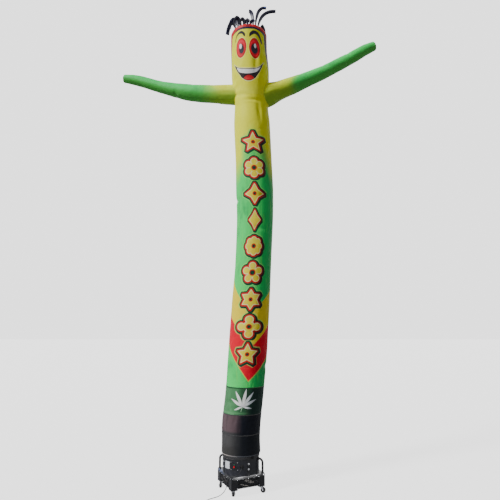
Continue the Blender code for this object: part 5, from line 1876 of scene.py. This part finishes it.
def makeBrackets():
    # Angle brackets that tie the drum to the deck, each behind a pair of bolts
    spec, radius = fasteners["bracket"], blower["drumRadius"]
    path, foot = [(radius, height) for height in spec["heights"]], spec["heights"][-1]
    for k in range(1, 6):
        c, s = cos(radians(18 * k)), sin(radians(18 * k))
        path.append((radius + spec["bend"] * (1 - c), foot - spec["bend"] * s))
    for number, facing in enumerate(fasteners["bracketFacings"]):
        out, along = towards(blower["turn"] + facing), towards(blower["turn"] + facing + 90)
        rings = []
        for i, (reach, height) in enumerate(path):
            before, after = path[max(i - 1, 0)], path[min(i + 1, len(path) - 1)]
            ahead = Vector((after[0] - before[0], after[1] - before[1])).normalized()
            half = spec["half"] * (1 if i else spec["tipShare"])
            ring = []
            for side, lift in spec["section"]:
                # the part on the wall bends with the drum
                drop = 0 if reach > radius + 1e-6 else radius - sqrt(radius**2 - (side * half) ** 2)
                level = reach + spec["seat"] - drop - lift * spec["thick"] * ahead.y
                place = blower["place"] + out * level + along * side * half
                ring.append(place + upward * (height + lift * spec["thick"] * ahead.x))
            rings.append(ring)
        addPiece(sweptMesh("drumBracket%d" % (number + 1), rings), steelPaint, 30, "black_paint")


makeFasteners()
makeBrackets()
print("fasteners fixed")


# Guards: woven wire in front of a fine dented mesh

guard = {
    "pitch": 0.0085, "wire": 0.0008, "plane": 0.2213, "meshPlane": 0.2203, "meshThick": 0.0006,
    "half": 0.1440, "foot": 0.0990, "top": 0.1930, "weave": 0.0022, "dent": 0.0009,
    # ends of the two pale bands of painted reflection, across from the side's middle and up, with their half
    # widths
    "reflectionBands": (((-0.048, 0.181), (0.070, 0.142), 0.015), ((-0.105, 0.139), (-0.003, 0.113), 0.008)),
}


def wirePart(name, length):
    # One wavy wire along +X, over and under at each pitch
    steps, wire = round(length / guard["pitch"] * 4), guard["wire"]
    rings = []
    for k in range(steps + 1):
        x = length * (k / steps - 0.5)
        middle = Vector((x, 0, wire * sin(pi * (x / guard["pitch"]))))
        rings.append(ringOf(middle, Vector((0, wire, 0)), upward * wire, 5))
    return sweptMesh(name, rings)


def meshFinish():
    paint = Paint("guardMesh", Metallic=0.7, Coat_Weight=0.15)
    u, v, w = paint.parts(paint.cloth())
    weave = (u * (tau / guard["weave"])).math("SINE") * (v * (tau / guard["weave"])).math("SINE")
    ragged = paint.noise(paint.place(), 42, 4, 0.65)
    bands = []
    for (x0, z0), (x1, z1), half in guard["reflectionBands"]:
        long = hypot(x1 - x0, z1 - z0)
        dx, dz = (x1 - x0) / long, (z1 - z0) / long
        along = (u - (x0 + x1) / 2) * dx + (v - (z0 + z1) / 2) * dz
        beside = (u - x0) * dz - (v - z0) * dx
        reach = (beside / half).squared() + (along / (long / 2)).squared()
        bands.append((reach - 1 + (ragged - 0.5) * 2.4).rise(0.35, -0.35))
    paint.colour = (0.014, 0.014, 0.018)
    # painted reflection: two pale bands across the mesh
    paint.lay((0.66, 0.62, 0.58), bands[0].most(bands[1]))
    paint.lay((0.004, 0.004, 0.005), weave.rise(0.0, 0.8) * 0.5)
    return paint.finish(ragged * 0.3 + 0.2, paint.bump(weave, 0.0004, 0.6))


def guardSlab(side, out, along, high, wide):
    # The fine mesh as a thin dented slab
    across, up = 64, 24
    rings, places = [], []
    for r in range(up + 1):
        z = guard["foot"] + high * r / up
        spots = [(wide * (k / across - 0.5), z) for k in range(across + 1)]
        back = []
        for x, z in spots:
            dent = guard["dent"] * noise.noise(Vector((x * 26, z * 40, side * 7)))
            back.append(blower["place"] + along * x + out * (guard["meshPlane"] + dent) + upward * z)
        rings.append([place + out * guard["meshThick"] for place in back] + back[::-1])
        places.append(spots + spots[::-1])
    return sweptMesh("guardSlab", rings, mapAt=lambda r, k: places[r][k % len(places[r])])


def makeGuards():
    high, wide = guard["top"] - guard["foot"], guard["half"] * 2
    upright, level, slabs = [], [], []
    for side in range(4):
        out, along = towards(blower["turn"] + 90 * side), towards(blower["turn"] + 90 * side + 90)
        face = blower["place"] + out * guard["plane"]
        middle = face + upward * (guard["foot"] + guard["top"]) / 2
        for k in range(int(wide / guard["pitch"])):
            x = -guard["half"] + guard["pitch"] * (k + 0.5)
            upright.append((middle + along * x, out, upward * (1 if k % 2 else -1)))
        for k in range(int(high / guard["pitch"])):
            z = guard["foot"] + guard["pitch"] * (k + 0.5)
            level.append((face + upward * z, out, along * (1 if k % 2 else -1)))
        slabs.append(guardSlab(side, out, along, high, wide))
    addPiece(joinedMesh("guardMesh", slabs), meshFinish(), 50, "black_paint")
    for name, places, length in (("guardWiresUp", upright, high), ("guardWiresAcross", level, wide)):
        repeatPart(name, places, wirePart(name + "Part", length), finishes["guardWire"], "black_paint")


makeGuards()


# The deck's folded top, and the pipes at two of its corners

deck = {
    "half": 0.2250, "hole": 0.2100, "top": 0.2240, "lip": 0.1980,
    "sheet": 0.0025, "round": 0.0060, "sides": 144, "corner": 40,
}
pipes = {
    "facings": {"pipeRight": (70.3, "handle_right"), "pipeLeft": (-109.7, "handle_left")},
    "reach": 0.285, "straightTo": 0.300, "top": 0.384, "seat": 0.0003, "bend": 0.045,
    "radius": 0.0138, "flange": (0.0225, 0.0055), "wallFlangeShare": 0.86,
    "screwCircle": 0.0185,
}


def deckFinish():
    # Black paint with painted highlights along the front edge and painted bluish reflections on the
    # front-left side
    paint = Paint("deckPaint", Coat_Weight=0.4)
    where = paint.place()
    across, back, z = blowerLines(paint, where, blower["turn"])
    cloud = paint.noise(where, 36, 4, 0.6)
    # painted highlights: bright patches on the front-right lip
    paintedGlare = inside((across + 0.120).size() - 0.050, 0.05)
    paintedGlare = paintedGlare.most(inside((across - 0.020).size() - 0.12, 0.08) * 0.45)
    paintedGlare = paintedGlare.most(inside((across - 0.205).size() - 0.006, 0.012) * 0.9) * back.rise(-0.196, -0.212)
    # painted reflections: bluish patches on the front-left side
    paintedBlueReflection = inside((back - 0.110).size() - 0.09, 0.05) * across.rise(-0.196, -0.212)
    paintedBlueReflection = paintedBlueReflection * (cloud.rise(0.42, 0.60) * 0.8 + 0.2)
    paint.colour = (0.022, 0.023, 0.030)
    paint.lay((0.20, 0.27, 0.52), paintedBlueReflection)
    paint.lay((0.94, 0.94, 0.96), paintedGlare * (cloud.rise(0.30, 0.52) * 0.5 + 0.5))
    metal = (paintedGlare.most(paintedBlueReflection) * 0.5 + 0.5).clipped()
    return paint.finish(cloud * 0.25 + 0.12, paint.bump(cloud, 0.001, 0.4), Metallic=metal)


def makeDeck():
    power, top, sheet = deck["corner"], deck["top"], deck["sheet"]

    def ring(inset, height, hole=0.0):
        # A square ring with close corners, or the round hole's
        made = []
        for azimuth in facingsOf(deck["sides"]):
            c, s = (abs(share) for share in rimOf(radians(azimuth)).xy)
            square = (deck["half"] - inset) / (c**power + s**power) ** (1 / power)
            out = towards(azimuth + blower["turn"])
            made.append(blower["place"] + out * (hole or square) + upward * height)
        return made

    outer, inner = [ring(0, top, deck["hole"])], [ring(0, top - sheet, deck["hole"])]
    for step in range(6):
        c, s = 1 - cos(radians(18 * step)), 1 - sin(radians(18 * step))
        small = deck["round"] - sheet
        outer.append(ring(deck["round"] * s, top - deck["round"] * c))
        inner.append(ring(sheet + small * s, top - sheet - small * c))
    outer.append(ring(0, deck["lip"]))
    inner.append(ring(sheet, deck["lip"]))
    mesh = wallMesh("deckTop", outer, inner, lambda r, k: (k * 0.01, r * 0.01))
    addPiece(mesh, deckFinish(), 30, "black_paint", "deck")


def makePipes():
    reach, top, bend, radius = pipes["reach"], pipes["top"], pipes["bend"], pipes["radius"]
    size, thick = pipes["flange"]
    profile = [(radius - 0.002, 0), (size, 0), (size, thick - 0.001), (size - 0.001, thick)]
    profile += [(radius + 0.002, thick), (radius - 0.002, thick + 0.002)]
    path = [(reach, deck["top"] + pipes["seat"]), (reach, pipes["straightTo"])]
    for k in range(11):
        c, s = 1 - cos(radians(9 * k)), 1 - sin(radians(9 * k))
        path.append((reach - bend * c, top - bend * s))
    path.append((blower["drumRadius"] + 0.0008, top))
    screws = []
    for name, (azimuth, node) in pipes["facings"].items():
        out, across = towards(azimuth), towards(azimuth + 90)
        rings = []
        for i, (away, height) in enumerate(path):
            before, after = path[max(i - 1, 0)], path[min(i + 1, len(path) - 1)]
            ahead = (out * (after[0] - before[0]) + upward * (after[1] - before[1])).normalized()
            middle = blower["place"] + out * away + upward * height
            rings.append(ringOf(middle, across * radius, ahead.cross(across).normalized() * radius, 24))
        addPiece(sweptMesh(name, rings), finishes["pipePaint"], 50, "black_paint", node)
        foot = blower["place"] + out * reach + upward * path[0][1]
        wall = blower["place"] + out * (blower["drumRadius"] + pipes["seat"]) + upward * top
        share = pipes["wallFlangeShare"]
        for label, place, axis, scale in (("Foot", foot, upward, 1), ("Wall", wall, out, share)):
            rows = [(r * scale, along) for r, along in profile]
            mesh = latheMesh(name + label, rows, 40, place, axis)
            addPiece(mesh, finishes["pipePaint"], 35, "black_paint")
        for k in range(3):
            rim = rimOf(tau * k / 3 + 0.5) * pipes["screwCircle"]
            screws.append((foot + out * rim.x + across * rim.y + upward * thick, upward, out))
    repeatPart("pipeScrews", screws, headMesh("screw", 0.62), finishes["screwSteel"], "zinc")


makeDeck()
makePipes()


# The fan under the deck: a shroud, a finned motor and twisted blades

fan = {
    "shroud": (
        (0.2060, 0.2208), (0.2060, 0.1180), (0.2110, 0.1060), (0.2125, 0.1040), (0.2100, 0.1030),
        (0.2030, 0.1150), (0.2030, 0.2208),
    ),
    "blades": 8, "hub": 0.049, "reach": 0.149, "height": 0.165,
    "pitch": (52, 26),  # at the hub, and how much it falls to the tip
    "chord": (0.030, 0.022), "spoke": (0.034, 0.2035), "spokeHeight": 0.1100,
    "spokeHalf": (0.0022, 0.0016),
    # the motor's can: its foot, the first of its fins (repeated at a pitch) and its top
    "canFoot": ((0.0, 0.1120), (0.030, 0.1120), (0.036, 0.1150)),
    "fin": ((0.046, 0.1200), (0.050, 0.1215), (0.050, 0.1245), (0.046, 0.1260)),
    "fins": 9, "finPitch": 0.010,
    "canTop": ((0.040, 0.2130), (0.030, 0.2160), (0.0, 0.2160)),
}


def bladeMesh(facing):
    rings = []
    for r in range(9):
        t = r / 8
        radius = fan["hub"] + fan["reach"] * t
        pitch = radians(fan["pitch"][0] - fan["pitch"][1] * t)
        chord = fan["chord"][0] + fan["chord"][1] * sin(pi * min(1, t * 0.8 + 0.1))
        ring = []
        for j in range(10):
            angle = tau * j / 10
            x = chord * cos(angle) * 0.9
            y = 0.0016 * sin(angle) + 0.006 * (1 - (x / chord) ** 2)
            swing = x * cos(pitch) - y * sin(pitch)
            lift = (x * sin(pitch) + y * cos(pitch)) * 0.8
            out = towards(facing + 12 * t + degrees(swing / radius))
            ring.append(blower["place"] + out * radius + upward * (fan["height"] + lift))
        rings.append(ring)
    return sweptMesh("blade", rings)


def makeFan():
    can = list(fan["canFoot"])
    for k in range(fan["fins"]):
        can += [(radius, height + fan["finPitch"] * k) for radius, height in fan["fin"]]
    can += fan["canTop"]
    wide, tall = fan["spokeHalf"]
    spokes, blades = [], []
    for k in range(fan["blades"]):
        facing = 360 / fan["blades"] * k
        out, side = towards(facing + 22.5), towards(facing + 112.5)
        level = blower["place"] + upward * fan["spokeHeight"]
        rings = [ringOf(level + out * along, side * wide, upward * tall, 8) for along in fan["spoke"]]
        spokes.append(sweptMesh("spoke", rings))
        blades.append(bladeMesh(facing))
    for mesh, finish, under in (
        (latheMesh("fanShroud", fan["shroud"], 72, blower["place"]), "blackPlastic", 40),
        (latheMesh("fanMotor", can, 48, blower["place"]), "hubPlastic", 35),
        (joinedMesh("fanBlades", blades), "hubPlastic", 40),
        (joinedMesh("fanSpokes", spokes), "guardWire", 40),
    ):
        addPiece(mesh, finishes[finish], under, "black_plastic")


makeFan()
print("fan, deck and guards made")


# Casters: tyres, hubs, races and nuts, each on the body that it turns with

casters = {
    "spots": {"front": (-1, -1, 50), "right": (1, -1, -45), "back": (1, 1, 150), "left": (-1, 1, -128)},
    "inset": 0.187, "radius": 0.032, "trail": 0.026, "boltReach": 0.0265, "boltFoot": 0.0757,
    "nutReach": 0.0205,
    "tyre": (
        (-0.0120, 0.0225), (-0.0120, 0.0288), (-0.0108, 0.0306), (-0.0085, 0.0316), (-0.0040, 0.0320),
        (0.0040, 0.0320), (0.0085, 0.0316), (0.0108, 0.0306), (0.0120, 0.0288), (0.0120, 0.0225),
        (0.0112, 0.0215), (-0.0112, 0.0215),
    ),
    "hub": (
        (-0.0110, 0.0046), (-0.0116, 0.0052), (-0.0116, 0.0098), (-0.0085, 0.0112), (-0.0068, 0.0125),
        (-0.0068, 0.0182), (-0.0098, 0.0196), (-0.0110, 0.0204), (-0.0110, 0.0214), (0.0110, 0.0214),
        (0.0110, 0.0204), (0.0098, 0.0196), (0.0068, 0.0182), (0.0068, 0.0125), (0.0085, 0.0112),
        (0.0116, 0.0098), (0.0116, 0.0052), (0.0110, 0.0046),
    ),
    "race": (
        (0.0235, 0.0758), (0.0262, 0.0752), (0.0268, 0.0735), (0.0262, 0.0716), (0.0238, 0.0706),
        (0.0232, 0.0716), (0.0232, 0.0750),
    ),
}


def makeCasters():
    plateNuts, inset, reach = [], casters["inset"], casters["boltReach"]
    for name, (signX, signY, heading) in casters["spots"].items():
        spot = onBlower(signX * inset, signY * inset, 0)
        ahead, side = towards(blower["turn"] + heading + 90), towards(blower["turn"] + heading + 180)
        hub = spot + ahead * casters["trail"] + upward * casters["radius"]
        wheel, swivel = "wheel_" + name, "swivel_" + name
        rows = {part: [(r, along) for along, r in casters[part]] for part in ("tyre", "hub")}
        tyre = latheMesh("tyre_" + name, rows["tyre"], 64, hub, side)
        addPiece(tyre, finishes["tyreRubber"], 35, "wheel_rubber", "caster_" + wheel, body=wheel)
        core = latheMesh("hub_" + name, rows["hub"], 48, hub, side)
        addPiece(core, finishes["hubPlastic"], 35, "wheel_rubber", body=wheel)
        race = latheMesh("race_" + name, casters["race"], 48, spot)
        addPiece(race, finishes["zincPlate"], 35, "zinc", body=swivel)
        # a lock nut at each end of the axle
        nuts = [(hub + side * way * casters["nutReach"], side * way, ahead) for way in (-1, 1)]
        repeatPart("axleNuts_" + name, nuts, headMesh("nut"), finishes["screwSteel"], "zinc", swivel)
        for x, y in ((-1, -1), (1, -1), (1, 1), (-1, 1)):
            place = onBlower(signX * inset + x * reach, signY * inset + y * reach, casters["boltFoot"])
            plateNuts.append((place, -upward, ahead))
    repeatPart("casterPlateNuts", plateNuts, headMesh("nut", 0.62), finishes["screwSteel"], "zinc")


makeCasters()
print("casters made")


# Small controls: a pilot lamp over the switch, ribs on the lead's strain relief

controls = {
    "lampHeight": 0.3535,
    "lamp": (
        (0.0, -0.0004), (0.0042, -0.0004), (0.0044, 0.0006), (0.0036, 0.0010),
        (0.0034, 0.0018), (0.0026, 0.0030), (0.0012, 0.0037), (0.0, 0.0038),
    ),
    "glandHeight": 0.333, "ribs": 7, "ribFirst": 0.0235, "ribPitch": 0.0030,
    "ribRadius": (0.00878, 0.128),  # of the first rib, and how much it falls for each metre along
    "ribHalf": (0.0007, 0.0009), "knurls": 22,
    "knurlRing": (0.0149, 0.013),  # its radius and its way along
    "knurl": (0.0052, 0.0013, 0.0011),
}


def lampFinish():
    paint = Paint("lampLens", Coat_Weight=0.5)
    cloud = paint.noise(paint.place(), 400, 2)
    paint.colour = paint.mix((0.010, 0.30, 0.14), (0.02, 0.55, 0.25), cloud)
    return paint.finish(cloud * 0.15 + 0.08)


def makeControls():
    place, out, along = aroundDrum(blower["switchFacing"], controls["lampHeight"], 0.0024)
    addPiece(latheMesh("pilotLamp", controls["lamp"], 24, place, out), lampFinish(), 40, "black_plastic")
    # grooves on the strain relief and a knurled ring on the gland
    base, out, along = aroundDrum(blower["glandFacing"], controls["glandHeight"], 0.0003)
    ribs, knurls = [], []
    (first, fall), (high, long) = controls["ribRadius"], controls["ribHalf"]
    for k in range(controls["ribs"]):
        step = controls["ribPitch"] * k
        radius, ahead = first - step * fall, controls["ribFirst"] + step
        rims = [rimOf(tau * j / 8) for j in range(8)]
        rows = [(radius + high * rim.x, ahead + long * rim.y) for rim in rims]
        ribs.append(latheMesh("rib", rows, 28, base, out))
    addPiece(joinedMesh("glandRibs", ribs), finishes["blackPlastic"], 40, "black_plastic")
    spin = upward.rotation_difference(out).to_matrix()
    radius, ahead = controls["knurlRing"]
    for k in range(controls["knurls"]):
        aim = spin @ rimOf(tau * k / controls["knurls"])
        knurls.append((base + out * ahead + aim * radius, aim, out))
    part = beadMesh("knurl", 1, controls["knurl"])
    repeatPart("glandKnurls", knurls, part, finishes["blackPlastic"], "black_plastic")


makeControls()


# The lead's tie and its plug

tie = {"slack": 0.0004, "thick": 0.0012, "wide": 0.012, "floor": 0.0002, "power": 5}
plug = {
    "neck": ((0.0, 0.0050, 0.0050), (0.0008, 0.0054, 0.0054)),
    # along, size and how much higher, for each rib and from one rib to the next
    "ribs": 5,
    "ribFirst": (0.0015, 0.0053), "ribStep": (0.0028, 0.00022),
    "ribRows": ((0, 0), (0.0010, 0.0006), (0.0020, 0)),
    "body": (
        (0.0160, 0.0066, 0.0066), (0.0172, 0.0100, 0.0086), (0.0190, 0.0118, 0.0098),
        (0.0250, 0.0124, 0.0104), (0.0300, 0.0117, 0.0098), (0.0360, 0.0122, 0.0104),
        (0.0420, 0.0134, 0.0113), (0.0452, 0.0135, 0.0115), (0.0460, 0.0129, 0.0109),
    ),
    "blade": (0.00075, 0.0032),  # half thick and half tall
    "bladeApart": 0.00635, "bladeReach": (0.0445, 0.0617),
}


def makeTie():
    facing, thick, power = lead["tieFacing"], tie["thick"], tie["power"]
    half = lead["coilSection"] + tie["slack"]
    level = (lead["lowTurn"] + lead["highTurn"]) / 2 + lead["tieLift"]
    radius = (lead["outerTurn"] + lead["innerTurn"]) / 2

    def ring(size, lowest, across):
        made = []
        for k in range(40):
            c, s = cos(tau * k / 40), sin(tau * k / 40)
            reach = size * (abs(c) ** power + abs(s) ** power) ** (-1 / power)
            spot = coilPoint(facing, radius + c * reach, max(lowest, level + s * reach))
            made.append(spot + towards(facing + 90) * across)
        return made

    steps = [tie["wide"] * (step / 6 - 0.5) for step in range(7)]
    outer = [ring(half + thick, tie["floor"], across) for across in steps]
    inner = [ring(half, tie["floor"] + thick, across) for across in steps]
    mesh = wallMesh("leadTie", outer, inner, lambda r, k: (k * 0.0017, r * 0.002))
    return addPiece(mesh, webbingFinish("tieWebbing", (0.016, 0.016, 0.018)), 50, "webbing", "cord_tie")


def makePlug():
    rows = list(plug["neck"])
    for k in range(plug["ribs"]):
        start, size = (first + step * k for first, step in zip(plug["ribFirst"], plug["ribStep"]))
        for step, more in plug["ribRows"]:
            rows.append((start + step, size + more, size + more))
    rings = []
    for along, halfWide, halfTall in rows + list(plug["body"]):
        power = 1.0 if along < 0.0165 else 0.6
        wide = towards(lead["plugFacing"]) * halfWide
        rings.append(ringOf(plugPlace(along), wide, upward * halfTall, 32, (power, power)))
    body = addPiece(sweptMesh("leadPlug", rings), finishes["blackPlastic"], 50, "cord_rubber", "plug")

    def place(side, along, up):
        # Narrower and lower at the blades' tips
        middle = copysign(plug["bladeApart"], side)
        tip = along > plug["bladeReach"][0] + 0.001
        return plugPlace(along, middle + (side - middle) * (0.72 if tip else 1), up * (0.9 if tip else 1))

    (thin, tall), (start, end) = plug["blade"], plug["bladeReach"]
    apart = plug["bladeApart"]
    boxes = [((x - thin, start, -tall), (x + thin, end, tall)) for x in (-apart, apart)]
    blades = boxesPiece("plugBlades", boxes, place, finishes["screwSteel"], "zinc", (0.0003, 2))
    smoothed(blades.data, 35)
    return body, blades


leadTie = makeTie()
leadPlug, plugBlades = makePlug()
tuple(leadExit)
print("lead finished")
